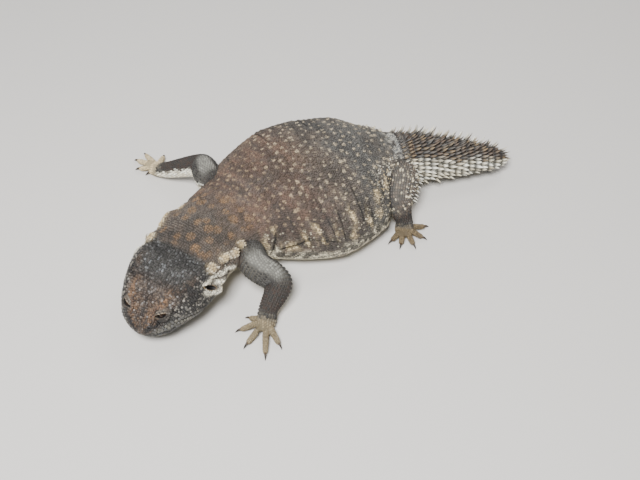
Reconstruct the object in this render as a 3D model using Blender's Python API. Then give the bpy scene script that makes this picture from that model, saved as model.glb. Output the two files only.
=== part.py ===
"""A spiny-tailed lizard (uromastyx) lying on its belly with its head lowered and turned to its left.

Still and life-size, in metres, +Z up. The head points along -X, the left side faces -Y, and the origin
is on the floor under the middle of the belly. Every place on the animal is a distance along its
backbone line: 0 at the belly's middle, below 0 towards the snout, above 0 towards the tail's tip.
"""

from collections import namedtuple

import bmesh
import bpy
import numpy as np

MM = 0.001
GAP = 0.3 * MM  # between neighbouring solids

# Places along the backbone line
SNOUT = -136 * MM
NAPE = -92 * MM
NECK_BASE = -66 * MM
VENT = 61 * MM
TAIL_TIP = 116 * MM

# The backbone line: its direction in plan, turning to the left at both ends, and how steeply it rises
# towards the tail. Each pair is a place and degrees.
BELLY_LEVEL = 13 * MM  # height of the line over the floor at the belly
HEADINGS = [
    (-137, 45), (-118, 38), (-98, 33.5), (-80, 30), (-62, 21.8), (-42, 13.3), (-20, 6.2),
    (0, 1.5), (20, -1.8), (42, -7.7), (62, -17), (84, -23), (117, -27),
]
PITCHES = [
    (-137, 22), (-110, 13), (-92, 9.5), (-75, -11.8), (-60, -14.5), (-45, -4.4), (-20, -0.5),
    (0, 0), (50, 0), (65, -4.5), (117, -2),
]

# A cross-section of the trunk: half width, height above the line, depth below it, and how square
# its upper and lower halves are (1 is an ellipse, less is squarer).
Section = namedtuple("Section", "at half_width above below upper lower")
TRUNK = [
    Section(SNOUT, 10.2 * MM, 9.0 * MM, 6.5 * MM, 1.0, 1.0),
    Section(-129 * MM, 13.7 * MM, 10.5 * MM, 7.5 * MM, 0.9, 1.0),
    Section(-121 * MM, 18.2 * MM, 13.6 * MM, 9.0 * MM, 0.85, 0.9),
    Section(-111 * MM, 22.0 * MM, 14.3 * MM, 10.6 * MM, 0.85, 0.9),
    Section(-100 * MM, 23.6 * MM, 14.2 * MM, 12.0 * MM, 0.9, 0.9),
    Section(-90 * MM, 23.8 * MM, 13.6 * MM, 12.5 * MM, 1.0, 0.9),
    Section(-72 * MM, 25.2 * MM, 15.9 * MM, 13.0 * MM, 1.0, 0.9),
    Section(-54 * MM, 29.8 * MM, 19.9 * MM, 13.0 * MM, 1.0, 0.8),
    Section(-32 * MM, 42.6 * MM, 22.6 * MM, 13.8 * MM, 1.0, 0.75),
    Section(-8 * MM, 50.4 * MM, 25.4 * MM, 14.0 * MM, 1.0, 0.7),
    Section(24 * MM, 43.6 * MM, 21.7 * MM, 14.0 * MM, 1.0, 0.7),
    Section(37 * MM, 29.5 * MM, 18.6 * MM, 13.8 * MM, 1.0, 0.7),
    Section(48 * MM, 19.5 * MM, 15.8 * MM, 13.0 * MM, 1.0, 0.8),
    Section(VENT, 16.4 * MM, 12.9 * MM, 10.0 * MM, 1.0, 0.9),
    Section(78 * MM, 14.7 * MM, 9.8 * MM, 7.0 * MM, 1.0, 0.9),
    Section(98 * MM, 10.7 * MM, 7.5 * MM, 5.4 * MM, 1.0, 1.0),
    Section(TAIL_TIP, 5.9 * MM, 4.9 * MM, 3.6 * MM, 1.0, 1.0),
]
SNOUT_ROUND = 8 * MM  # the snout and the tail's tip close over these lengths
TAIL_ROUND = 7 * MM

# Low swellings and hollows of the head and neck: place, degrees up from the right side, height, and
# reach along and around. Each stands on both sides.
RELIEF = [
    (-123, 117, 1.3, 7, 9),  # brow ridge
    (-126, 90, -0.8, 6, 12),  # forehead between the brows
    (-133, 122, 0.5, 2.5, 12),  # round the nostril
    (-104, 140, 1.2, 8, 17),  # temple
    (-107, 197, 1.0, 8, 14),  # jaw
    (-98, 180, 2.4, 3.2, 15),  # cheek fold under the ear
    (-96.5, 165, -1.6, 2.6, 22),  # behind the jaw
    (-91, 168, 1.2, 2.6, 24),  # side folds of the neck
    (-86, 165, -1.3, 2.4, 22),
    (-80, 160, 1.2, 3.0, 22),
    (-74, 168, -1.6, 3.0, 22),
    (-94, 143, 1.2, 3.2, 8),  # lobes that carry the neck's pointed scales
    (-85, 148, 1.5, 3.2, 8),
    (-77, 150, 1.3, 3.4, 8),
]

# The mouth's line on the surface: places and degrees up from the right side, for the left half
MOUTH = [(-137, 150), (-134, 150), (-129, 158), (-123, 170), (-116, 184), (-110, 190)]
MOUTH_END = -112 * MM
LIP, MOUTH_DEPTH = 0.4 * MM, 0.9 * MM

# Openings of the head: place, degrees for the left side, then half length, half height and depth
NOSTRIL = (-133 * MM, 120, 0.7 * MM, 0.9 * MM, 1.2 * MM)
EAR = (-101.5 * MM, 160, 1.5 * MM, 3.6 * MM, 2.6 * MM)

# Groups of pointed scales: place, degrees, how many along and around, and their length and width.
# Each stands on both sides.
NECK_SPINES = [
    (-95, 143, 2, 3, 2.0, 2.0),
    (-85, 148, 2, 4, 2.2, 2.1),
    (-77, 150, 2, 3, 2.0, 2.0),
    (-104.3, 160, 1, 5, 1.5, 1.4),
]
SPINE_STEP = 2.2 * MM  # between neighbours in a group

WHORL = 4.3 * MM  # from one ring of tail spines to the next
TAIL_SPINE_WIDTH = 3.6 * MM
TAIL_SPINE_LENGTHS = (3.4 * MM, 4.8 * MM)  # on the back and at the sides
TAIL_SPINE_RISE = np.radians(48)  # from the skin
LAST_WHORL_RISE = np.radians(62)  # steeper, so that the last ring of a length stays clear of the next
THIGH_SPINES = 9
THIGH_SPINE_LENGTH, THIGH_SPINE_WIDTH = 3.2 * MM, 2.2 * MM

EYE_PLACE, EYE_ANGLE = -125.5 * MM, np.radians(130)
EYE_RADIUS, SOCKET_RADIUS, LID_RADIUS = 3.2 * MM, 3.5 * MM, 4.3 * MM
EYE_DEPTH = 3.1 * MM  # the eyeball's middle under the skin
EYE_OPENING = (2.9 * MM, 1.25 * MM)  # half length and half height


def ease(t):
    """0 to 1, starting and ending level."""
    t = np.clip(t, 0, 1)
    return t * t * (3 - 2 * t)


def through(at, places, values):
    """A smooth curve through the values at the places, which never swings past them."""
    x, y = np.asarray(places, float), np.asarray(values, float)
    step = np.diff(x)
    slope = np.diff(y) / step
    same_way = slope[:-1] * slope[1:] > 0
    total = np.where(same_way, slope[:-1] + slope[1:], 1)
    slopes = np.concatenate([slope[:1], np.where(same_way, 2 * slope[:-1] * slope[1:] / total, 0), slope[-1:]])
    i = np.clip(np.searchsorted(x, at) - 1, 0, len(step) - 1)
    t = (at - x[i]) / step[i]
    bend = step[i] * (slopes[i] * t * (1 - t) ** 2 - slopes[i + 1] * t * t * (1 - t))
    return y[i] * (1 - ease(t)) + y[i + 1] * ease(t) + bend


def along(s, pairs):
    """The pairs' second number at this place, the first being in millimetres."""
    places, values = zip(*pairs)
    return through(s, np.array(places) * MM, values)


LINE_S = np.linspace(SNOUT - 1 * MM, TAIL_TIP + 1 * MM, 1024)


def walk_line():
    """The line's points, found by stepping along its heading and pitch from the middle of the belly."""
    mid = (LINE_S[1:] + LINE_S[:-1]) / 2
    heading, pitch = np.radians(along(mid, HEADINGS)), np.radians(along(mid, PITCHES))
    steps = np.stack([np.cos(pitch) * np.cos(heading), np.cos(pitch) * np.sin(heading), np.sin(pitch)], 1)
    points = np.concatenate([np.zeros((1, 3)), np.cumsum(steps * np.diff(LINE_S)[:, None], 0)])
    at_belly = [np.interp(0, LINE_S, points[:, k]) for k in range(3)]
    return points - at_belly + [0, 0, BELLY_LEVEL]


LINE = walk_line()


def frame_at(s):
    """Point on the line, and the unit vectors to the animal's right and up there."""
    point = np.stack([np.interp(s, LINE_S, LINE[:, k]) for k in range(3)], -1)
    h, p = np.radians(along(s, HEADINGS)), np.radians(along(s, PITCHES))
    right = np.stack([-np.sin(h), np.cos(h), 0 * s], -1)
    up = np.stack([-np.sin(p) * np.cos(h), -np.sin(p) * np.sin(h), np.cos(p)], -1)
    return point, right, up


def closing(s):
    """1 along the animal, falling to 0 round the ends of the snout and the tail."""
    front = np.clip((s - SNOUT) / SNOUT_ROUND, 0, 1)
    back = np.clip((TAIL_TIP - s) / TAIL_ROUND, 0, 1)
    return np.sqrt(front * (2 - front)) * np.sqrt(back * (2 - back))


def relief(s, angle):
    """Height of the swellings, folds and lips at a place and an angle, the same on both sides."""
    left = np.degrees(np.arctan2(np.sin(angle), -np.abs(np.cos(angle)))) % 360
    height = 0 * s
    for place, degrees, high, reach, around in RELIEF:
        far = ((s / MM - place) / reach) ** 2 + ((left - degrees) / around) ** 2
        height = height + high * MM * np.exp(-far)
    mouth = along(np.clip(s, SNOUT, MOUTH_END), MOUTH)
    shut = ease((MOUTH_END - s) / (3 * MM))
    off = (left - mouth) / 360 * 2 * np.pi * 13 * MM
    groove = np.exp(-((off / (0.5 * MM)) ** 2))
    lips = np.exp(-((off / (2.2 * MM)) ** 2))
    return height + shut * (LIP * lips - (LIP + MOUTH_DEPTH) * groove)


def trunk_point(s, angle, grow=0.0):
    """The trunk's surface at a place and at an angle round it: 0 is its right side and 90 degrees its back."""
    places = [section.at for section in TRUNK]
    half_width, above, below, upper, lower = (
        through(s, places, [section[k] for section in TRUNK]) for k in range(1, 6)
    )
    cos, sin = np.cos(angle), np.sin(angle)
    squareness = np.where(sin > 0, upper, lower)
    grow = grow + relief(s, angle) * closing(s)
    across = (half_width * closing(s) + grow) * np.sign(cos) * np.abs(cos) ** squareness
    height = (np.where(sin > 0, above, below) * closing(s) + grow) * np.sign(sin) * np.abs(sin) ** squareness
    point, right, up = frame_at(s)
    surface = point + across[..., None] * right + height[..., None] * up
    surface[..., 2] = np.maximum(surface[..., 2], 0)
    return surface


def surface_frame(s, angle):
    """A point on the trunk, and the unit vectors tailwards, round towards larger angles, and outwards."""
    at = np.array([s, s + 0.3 * MM, s - 0.3 * MM, s, s])
    turned = angle + np.array([0, 0, 0, 0.01, -0.01])
    points = trunk_point(at, turned)
    tailwards = points[1] - points[2]
    tailwards /= np.linalg.norm(tailwards)
    round_ = points[3] - points[4]
    outwards = np.cross(round_, tailwards)
    outwards /= np.linalg.norm(outwards)
    return points[0], tailwards, np.cross(tailwards, outwards), outwards


def mesh_object(name, verts, faces):
    """An object from points and faces, its faces turned outwards."""
    mesh = bpy.data.meshes.new(name)
    mesh.from_pydata([tuple(v) for v in verts], [], faces)
    shell = bmesh.new()
    shell.from_mesh(mesh)
    bmesh.ops.recalc_face_normals(shell, faces=shell.faces)
    shell.to_mesh(mesh)
    shell.free()
    obj = bpy.data.objects.new(name, mesh)
    bpy.context.scene.collection.objects.link(obj)
    return obj


def loft(name, rings):
    """A closed solid through rings of equally many points, each end capped by one flat face."""
    count, sides = len(rings), len(rings[0])
    faces = [
        (r * sides + j, r * sides + (j + 1) % sides, (r + 1) * sides + (j + 1) % sides, (r + 1) * sides + j)
        for r in range(count - 1)
        for j in range(sides)
    ]
    faces += [tuple(range(sides)), tuple(range((count - 1) * sides, count * sides))]
    return mesh_object(name, np.concatenate(rings), faces)


def trunk_solid(name, places, sides, grow=0.0):
    """The part of the trunk through these places."""
    angles = 2 * np.pi * np.arange(sides) / sides
    return loft(name, [trunk_point(np.full(sides, s), angles, grow) for s in places])


def head_solid(name, places):
    """The head, with rows of points along both lips and the mouth's line."""
    mouth = np.radians(along(np.clip(places, SNOUT, MOUTH_END), MOUTH))
    rings = []
    for s, line in zip(places, mouth):
        step = np.radians(3.4)
        over = np.linspace(np.pi / 2, line - 2 * step, 9)
        under = np.linspace(line + 2 * step, 3 * np.pi / 2, 7)
        left = np.concatenate([over, [line - step, line, line + step], under])
        right = (np.pi - left[::-1])[1:-1]
        angles = np.concatenate([left, right + 2 * np.pi])
        rings.append(trunk_point(np.full(len(angles), s), angles))
    return loft(name, rings)


def spread(start, end, count, round_start=False, round_end=False):
    """Places from start to end, drawn together towards a rounded end."""
    t = np.linspace(0, 1, count)
    if round_start:
        t = t ** 1.6
    if round_end:
        t = 1 - (1 - t) ** 1.6
    return start + (end - start) * t


def tube(name, joints, sizes, sides, per_joint, start=0.0, end=None, round_end=False):
    """A limb, toe or claw: flattened rings along a smooth path through the joints.

    sizes holds each joint's half width and half height. start and end are places in joints, so that
    1.5 is half way from the second joint to the third."""
    joints, sizes = np.asarray(joints, float), np.asarray(sizes, float)
    last = len(joints) - 1
    end = last if end is None else end
    places = np.arange(last + 1)

    def path(u):
        return np.stack([through(u, places, joints[:, k]) for k in range(3)], -1)

    t = np.linspace(start, end, max(3, int(round((end - start) * per_joint)) + 1))
    if round_end:
        t = np.concatenate([t[:-1], end - (t[-1] - t[-2]) * np.array([0.55, 0.2, 0.02])])
    points = path(t)
    ahead = path(np.clip(t + 0.35, 0, last)) - path(np.clip(t - 0.35, 0, last))
    ahead /= np.linalg.norm(ahead, axis=1)[:, None]
    side = np.cross(ahead, [0, 0, 1])
    side /= np.linalg.norm(side, axis=1)[:, None]
    up = np.cross(side, ahead)
    width, height = (through(t, places, sizes[:, k]) for k in range(2))
    if round_end:
        reach = np.clip((end - t) / (t[-4] - end) * -1, 0, 1)
        width, height = (size * np.sqrt(reach * (2 - reach)) for size in (width, height))
    angles = 2 * np.pi * np.arange(sides) / sides
    rings = [
        points[i] + np.outer(width[i] * np.cos(angles), side[i]) + np.outer(height[i] * np.sin(angles), up[i])
        for i in range(len(t))
    ]
    return loft(name, rings)


def ball(name, centre, axes, radii, rings=8, sides=12):
    """A closed ellipsoid with its axes along three unit vectors."""
    tilt = np.linspace(0, np.pi, rings + 1)
    tilt[0], tilt[-1] = 0.05, np.pi - 0.05
    turn = 2 * np.pi * np.arange(sides) / sides
    return loft(
        name,
        [
            centre
            + radii[2] * np.cos(a) * axes[2]
            + np.sin(a) * (np.outer(radii[0] * np.cos(turn), axes[0]) + np.outer(radii[1] * np.sin(turn), axes[1]))
            for a in tilt
        ],
    )


def spine(name, root, ahead, out, length, width, rise):
    """A pointed scale: a four-sided spike in two steps, rooted well in, that leans ahead as it rises."""
    across = np.cross(ahead, out)
    way = np.cos(rise) * ahead + np.sin(rise) * out
    thick = np.cross(across, way)
    points = []
    for far, wide in ((-0.2, 0.95), (0.4, 0.75)):
        half = wide * width / 2
        points += [root + far * length * way + half * v for v in (across, 0.62 * thick, -across, -0.62 * thick)]
    points.append(root + length * way)
    sides = [(j, (j + 1) % 4, 4 + (j + 1) % 4, 4 + j) for j in range(4)]
    tips = [(4 + j, 4 + (j + 1) % 4, 8) for j in range(4)]
    return mesh_object(name, points, [(3, 2, 1, 0)] + sides + tips)


def trunk_spines(rows):
    """Spikes on the trunk, one for each place, angle, length, width and rise."""
    made = []
    for place, angle, length, width, rise in rows:
        root, tailwards, _, outwards = surface_frame(place, angle)
        made.append(spine("spine", root, tailwards, outwards, length, width, rise))
    return made


def group_rows(groups, draw):
    """The rows for groups of pointed scales on both sides."""
    rows = []
    for place, degrees, along_count, around_count, length, width in groups:
        for i in range(along_count):
            for j in range(around_count):
                at = place * MM + (i - (along_count - 1) / 2) * SPINE_STEP
                shift = (j - (around_count - 1) / 2 + 0.5 * (i % 2)) * SPINE_STEP / (20 * MM)
                angle = np.radians(degrees) + shift
                long = length * MM * draw.uniform(0.75, 1.15)
                rows.append((at, angle, long, width * MM, np.radians(50)))
                rows.append((at, np.pi - angle, long, width * MM, np.radians(50)))
    return rows


def whorl_rows(start, end, draw):
    """The rows for the tail's rings of spikes between two places."""
    rows = []
    rings = int((end - start + 1 * MM) / WHORL)
    for k in range(rings):
        place = start + 1.6 * MM + k * WHORL
        last_ring = k == rings - 1 and end < TAIL_TIP
        ends = trunk_point(np.full(2, place), np.array([0, np.pi]))
        width = np.linalg.norm(ends[1] - ends[0])
        count = max(7, int(round(1.5 * width / TAIL_SPINE_WIDTH)))
        small = 0.72 + 0.28 * min(1, width / (26 * MM))
        for j in range(count):
            angle = np.radians(-16) + np.radians(212) * (j + 0.25 + 0.5 * (k % 2)) / count
            side = abs(np.cos(angle))
            long = TAIL_SPINE_LENGTHS[0] + (TAIL_SPINE_LENGTHS[1] - TAIL_SPINE_LENGTHS[0]) * side
            long *= small * draw.uniform(0.85, 1.1) * (0.92 if last_ring else 1)
            rise = LAST_WHORL_RISE if last_ring else TAIL_SPINE_RISE
            rows.append((place, angle, long, TAIL_SPINE_WIDTH * small, rise))
    return rows


def hollow(name, place, angle, half_length, half_height, depth):
    """A cutter for an opening of the head."""
    point, tailwards, round_, outwards = surface_frame(place, angle)
    return ball(name, point, np.array([tailwards, round_, outwards]), (half_length, half_height, depth), 6, 8)


def evaluated(obj):
    """A plain copy of the object's mesh with its modifiers applied."""
    graph = bpy.context.evaluated_depsgraph_get()
    return bpy.data.meshes.new_from_object(obj.evaluated_get(graph))


def keep_largest(mesh):
    """Removes all but the closed surface that holds most."""
    shell = bmesh.new()
    shell.from_mesh(mesh)
    bmesh.ops.triangulate(shell, faces=shell.faces)
    left, groups = set(shell.verts), []
    while left:
        group, edge = set(), [next(iter(left))]
        while edge:
            vert = edge.pop()
            if vert in group:
                continue
            group.add(vert)
            edge += [link.other_vert(vert) for link in vert.link_edges if link.other_vert(vert) not in group]
        groups.append(group)
        left -= group

    def held(group):
        faces = {face for vert in group for face in vert.link_faces}
        corners = [[v.co for v in face.verts] for face in faces]
        return abs(sum(a.dot(b.cross(c)) for a, b, c in corners))

    largest = max(groups, key=held)
    bmesh.ops.delete(shell, geom=[v for v in shell.verts if v not in largest], context="VERTS")
    shell.to_mesh(mesh)
    shell.free()


def combine(body, others, operation, solver="EXACT"):
    """Joins the others to the body, or cuts them from it, and removes them."""
    tools = bpy.data.collections.new("tools")
    bpy.context.scene.collection.children.link(tools)
    for other in others:
        for home in list(other.users_collection):
            home.objects.unlink(other)
        tools.objects.link(other)
    boolean = body.modifiers.new("combine", "BOOLEAN")
    boolean.operation = operation
    boolean.operand_type = "COLLECTION"
    boolean.collection = tools
    boolean.solver = solver
    mesh = evaluated(body)
    body.modifiers.clear()
    old, body.data = body.data, mesh
    bpy.data.meshes.remove(old)
    keep_largest(mesh)
    for other in others:
        bpy.data.objects.remove(other)
    bpy.data.collections.remove(tools)
    return body


def floor_cutter():
    """A slab below the floor, which leaves small flats where feet press on it."""
    size, deep = 0.4, 0.05
    corners = [(x * size, y * size, z * deep) for z in (-1, 0) for x, y in ((-1, -1), (1, -1), (1, 1), (-1, 1))]
    sides = [(j, (j + 1) % 4, 4 + (j + 1) % 4, 4 + j) for j in range(4)]
    return mesh_object("floor", corners, [(0, 1, 2, 3), (4, 5, 6, 7)] + sides)


def trim(piece, limb, at, way):
    """Cuts a limb's piece flat across the joint, half a gap short of it. way is 1 to cut what lies beyond."""
    t = np.array([at - 0.3, at, at + 0.3])
    points = np.stack([through(t, np.arange(6), limb.joints[:, k]) for k in range(3)], -1)
    ahead = (points[2] - points[0]) / np.linalg.norm(points[2] - points[0]) * way
    side = np.cross(ahead, [0, 0, 1])
    side /= np.linalg.norm(side)
    up = np.cross(side, ahead)
    near, far, wide = -GAP / 2, 16 * MM, 22 * MM
    corners = [
        points[1] + ahead * z + wide * (x * side + y * up)
        for z in (near, far)
        for x, y in ((-1, -1), (1, -1), (1, 1), (-1, 1))
    ]
    sides = [(j, (j + 1) % 4, 4 + (j + 1) % 4, 4 + j) for j in range(4)]
    block = mesh_object("block", corners, [(0, 1, 2, 3), (4, 5, 6, 7)] + sides)
    return combine(piece, [block], "DIFFERENCE", "MANIFOLD")


def skin_material(name, colour, roughness=0.75):
    material = bpy.data.materials.new(name)
    material.use_nodes = True
    shader = material.node_tree.nodes["Principled BSDF"]
    shader.inputs["Base Color"].default_value = (*colour, 1)
    shader.inputs["Roughness"].default_value = roughness
    return material


for old in list(bpy.data.objects):
    bpy.data.objects.remove(old)

DARK = skin_material("dark_scales", (0.09, 0.07, 0.06))
PALE = skin_material("pale_scales", (0.5, 0.42, 0.25))
SPINY = skin_material("tail_spines", (0.3, 0.26, 0.2))
EYE = skin_material("eye", (0.02, 0.012, 0.01), 0.1)


def finish(obj, material):
    obj.data.materials.clear()
    obj.data.materials.append(material)
    obj.data.shade_smooth()
    obj.data.set_sharp_from_angle(angle=np.radians(40))


# Head and eyes
head = head_solid("head", spread(SNOUT + 0.05 * MM, NAPE - GAP / 2, 23, round_start=True))
for side_name, angle in (("left", EYE_ANGLE), ("right", np.pi - EYE_ANGLE)):
    point, tailwards, round_, outwards = surface_frame(EYE_PLACE, angle)
    centre = point - EYE_DEPTH * outwards
    axes = np.array([tailwards, round_, outwards])
    combine(head, [ball("lid", centre, axes, [LID_RADIUS] * 3)], "UNION")
    opening = ball("opening", centre + LID_RADIUS * outwards, axes, (*EYE_OPENING, 3 * MM), 8, 12)
    combine(head, [ball("socket", centre, axes, [SOCKET_RADIUS] * 3), opening], "DIFFERENCE")
    finish(ball(side_name + "_eye", centre, axes, [EYE_RADIUS] * 3), EYE)
    for name, (place, degrees, *half) in (("nostril", NOSTRIL), ("ear", EAR)):
        turned = np.radians(degrees if side_name == "left" else 180 - degrees)
        combine(head, [hollow(name, place, turned, *half)], "DIFFERENCE")

# Neck, torso and tail
neck_places = spread(NAPE + GAP / 2, NECK_BASE - GAP / 2, 9)
neck = trunk_solid("neck", neck_places, 40)
rows = group_rows(NECK_SPINES, np.random.default_rng(11))
for piece, first, last in ((head, SNOUT, NAPE - 2.4 * MM), (neck, NAPE + 0.8 * MM, NECK_BASE)):
    combine(piece, trunk_spines([row for row in rows if first < row[0] < last]), "UNION", "MANIFOLD")
torso_places = spread(NECK_BASE + GAP / 2, VENT - GAP / 2, 20)
torso = trunk_solid("torso", torso_places, 40)
for piece in (head, neck, torso):
    finish(piece, DARK)

TAIL_CUTS = [VENT, VENT + 5 * WHORL, VENT + 9 * WHORL, TAIL_TIP]
draw = np.random.default_rng(5)
for k, name in enumerate(("tail_root", "tail_middle", "tail_end")):
    last = k == 2
    places = spread(TAIL_CUTS[k] + GAP / 2, TAIL_CUTS[k + 1] - (0.05 * MM if last else GAP / 2), 6, round_end=last)
    length = trunk_solid(name, places, 22)
    combine(length, trunk_spines(whorl_rows(*TAIL_CUTS[k : k + 2], draw)), "UNION", "MANIFOLD")
    finish(length, SPINY)

# Legs: the joints' places from the shoulder or hip to the front of the palm, each joint's half width and
# half height, and the five toes' tips in plan
Limb = namedtuple("Limb", "name joints sizes toes")
FORE_SIZES = np.array([(8, 8), (8, 7.8), (7.4, 6.8), (5, 4.4), (5.2, 3.3), (4.6, 2.6)]) * MM
HIND_SIZES = np.array([(10, 9), (10.5, 9), (7.5, 7), (4.8, 4.5), (5.2, 3.3), (4.8, 2.6)]) * MM
LIMBS = [
    Limb(
        "left_fore",
        np.array([(-52, -20, 19), (-55, -40, 18), (-48, -54, 14), (-58, -63, 6.5), (-61, -67, 3.2), (-65, -70, 2.6)]) * MM,
        FORE_SIZES,
        np.array([(-69, -58), (-77, -64), (-77, -75), (-70, -86), (-60, -84)]) * MM,
    ),
    Limb(
        "right_fore",
        np.array([(-50, 10, 20), (-54, 25, 20), (-53, 38, 17), (-70, 55, 7), (-74, 62, 3.2), (-77, 67, 2.6)]) * MM,
        FORE_SIZES,
        np.array([(-82, 63), (-86, 70), (-84, 78), (-77, 81), (-66, 74)]) * MM,
    ),
    Limb(
        "left_hind",
        np.array([(48, -6, 14), (43, -21, 17), (34, -35, 14), (34.5, -41, 7.5), (33, -44.5, 3.2), (31, -47, 2.6)]) * MM,
        HIND_SIZES,
        np.array([(21, -48), (25, -54), (33, -58), (42, -55), (48, -47)]) * MM,
    ),
    Limb(
        "right_hind",
        np.array([(48, 0, 13), (43, 14, 14.5), (33, 29, 13), (34.5, 36, 7.5), (35, 40.5, 3.2), (36, 44, 2.6)]) * MM,
        HIND_SIZES,
        np.array([(28, 46), (31, 51), (37, 53), (44, 51), (48, 44)]) * MM,
    ),
]
LIMB_CUTS = (2, 3.4)  # the elbow or knee, and the wrist or ankle, in joints


def foot(limb):
    """The palm with its five toes and claws, joined."""
    wrist = LIMB_CUTS[1]
    palm = tube(limb.name + "_foot", limb.joints, limb.sizes, 12, 4, wrist - 0.25, None, round_end=True)
    trim(palm, limb, wrist, -1)
    root = limb.joints[4]
    parts = []
    for k, tip in enumerate(limb.toes):
        ahead = np.array([*tip, 0]) - [*root[:2], 0]
        reach = np.linalg.norm(ahead)
        ahead /= reach

        def place(far, high):
            return root * [1, 1, 0] + ahead * far + [0, 0, high * MM]

        end = reach - 4 * MM
        joints = [place(0.12 * reach, 2.9), place(0.45 * end, 3.6), place(0.78 * end, 2.4), place(end, 1.7)]
        sizes = np.array([(2.2, 2.0), (2.0, 1.9), (1.8, 1.8), (1.6, 1.6)]) * MM
        parts.append(tube("toe", joints, sizes, 6, 1.5, 0, None, round_end=True))
        claw = [place(end - 2 * MM, 2.1), place(end + 1.4 * MM, 2.2), place(reach, 0.6)]
        parts.append(tube("claw", claw, np.array([(0.9, 1.0), (0.8, 0.9), (0.12, 0.12)]) * MM, 4, 1.5))
    return combine(palm, parts, "UNION")


def thigh_spines(limb, draw):
    """A row of spikes along the thigh's rear edge."""
    made = []
    for t in np.linspace(0.7, 1.74, THIGH_SPINES):
        places = np.arange(len(limb.joints))
        near = [np.array([through(u, places, limb.joints[:, k]) for k in range(3)]) for u in (t - 0.35, t, t + 0.35)]
        ahead = (near[2] - near[0]) / np.linalg.norm(near[2] - near[0])
        rear = np.cross([0, 0, 1], ahead)
        rear *= np.sign(rear[0]) / np.linalg.norm(rear)
        up = np.cross(ahead, rear)
        up *= np.sign(up[2])
        wide, high = (through(t, places, limb.sizes[:, k]) for k in range(2))
        out = np.cos(0.25) * rear + np.sin(0.25) * up
        root = near[1] + 0.96 * (wide * np.cos(0.25) * rear + high * np.sin(0.25) * up)
        long = THIGH_SPINE_LENGTH * draw.uniform(0.8, 1.1)
        made.append(spine("spine", root, ahead, out, long, THIGH_SPINE_WIDTH, np.radians(72)))
    return made


def torso_clearance():
    """The neck, torso and tail root grown by the gap, to cut a limb clear of them."""
    places = np.concatenate([neck_places[2:], torso_places, spread(VENT, VENT + 20 * MM, 5)[1:]])
    return trunk_solid("clearance", places, 40, GAP)


for limb in LIMBS:
    joint, wrist = LIMB_CUTS
    upper = trim(tube(limb.name + "_upper", limb.joints, limb.sizes, 14, 5, 0, joint + 0.3), limb, joint, 1)
    lower = trim(tube(limb.name + "_lower", limb.joints, limb.sizes, 14, 5, joint - 0.3, wrist + 0.25), limb, joint, -1)
    trim(lower, limb, wrist, 1)
    if limb.name.endswith("hind"):
        combine(upper, thigh_spines(limb, np.random.default_rng(3)), "UNION", "MANIFOLD")
    sole = foot(limb)
    combine(sole, [floor_cutter()], "DIFFERENCE")
    for piece in (upper, lower, sole):
        if piece is upper or limb.name.endswith("hind"):
            combine(piece, [torso_clearance()], "DIFFERENCE", "MANIFOLD")
        finish(piece, PALE if piece is sole else DARK)
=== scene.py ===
from collections import namedtuple
from functools import partial

import bpy
import numpy as np
from mathutils import Matrix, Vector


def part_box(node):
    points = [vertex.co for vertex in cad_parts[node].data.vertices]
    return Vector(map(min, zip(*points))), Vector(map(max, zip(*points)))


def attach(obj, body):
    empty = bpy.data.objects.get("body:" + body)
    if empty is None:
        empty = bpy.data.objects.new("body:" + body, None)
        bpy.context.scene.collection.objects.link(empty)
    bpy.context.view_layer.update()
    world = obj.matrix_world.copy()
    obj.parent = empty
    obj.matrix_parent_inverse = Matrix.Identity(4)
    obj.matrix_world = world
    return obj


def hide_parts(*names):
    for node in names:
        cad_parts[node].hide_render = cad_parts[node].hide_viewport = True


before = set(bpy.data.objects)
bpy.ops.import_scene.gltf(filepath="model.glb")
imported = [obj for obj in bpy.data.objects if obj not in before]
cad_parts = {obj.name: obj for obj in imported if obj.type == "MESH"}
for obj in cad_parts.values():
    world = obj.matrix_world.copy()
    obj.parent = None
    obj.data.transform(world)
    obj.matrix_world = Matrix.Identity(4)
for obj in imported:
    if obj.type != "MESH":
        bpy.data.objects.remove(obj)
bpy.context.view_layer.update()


# Floor, light and camera. The floor is plain pale studio paper under a soft box at the head's left, with
# two broader, weaker ones beyond the animal. The camera looks down from its left and a little in front.
MM = 0.001
PHOTO_WIDTH = 640  # pixels
FOCAL_PIXELS = 804.3
CAMERA_AZIMUTH, CAMERA_ELEVATION, CAMERA_DISTANCE = -26.4, 50.0, 447.4 * MM
CAMERA_TARGET = np.array([-11.1, -28.1, 0]) * MM


def direction(azimuth, elevation):
    """The unit vector towards a point at this azimuth, 0 being -Y, and this elevation."""
    a, e = np.radians(azimuth), np.radians(elevation)
    return np.array([np.sin(a) * np.cos(e), -np.cos(a) * np.cos(e), np.sin(e)])


def aim(obj, azimuth, elevation, distance, target):
    """Places an object at this direction and distance from the target, with its -Z axis towards it."""
    back = direction(azimuth, elevation)
    right = np.cross([0, 0, 1], back)
    right /= np.linalg.norm(right)
    turn = Matrix(np.stack([right, np.cross(back, right), back], 1).tolist()).to_4x4()
    obj.matrix_world = Matrix.Translation(np.asarray(target) + back * distance) @ turn
    bpy.context.scene.collection.objects.link(obj)


def soft_box(name, azimuth, elevation, distance, size, power, colour=(1, 1, 1)):
    """A square area light of this size, aimed at the animal."""
    lamp = bpy.data.lights.new(name, "AREA")
    lamp.shape = "SQUARE"
    lamp.size = size
    lamp.energy = power
    lamp.color = colour
    aim(bpy.data.objects.new(name, lamp), azimuth, elevation, distance, (0, 0, 0.01))


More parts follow.
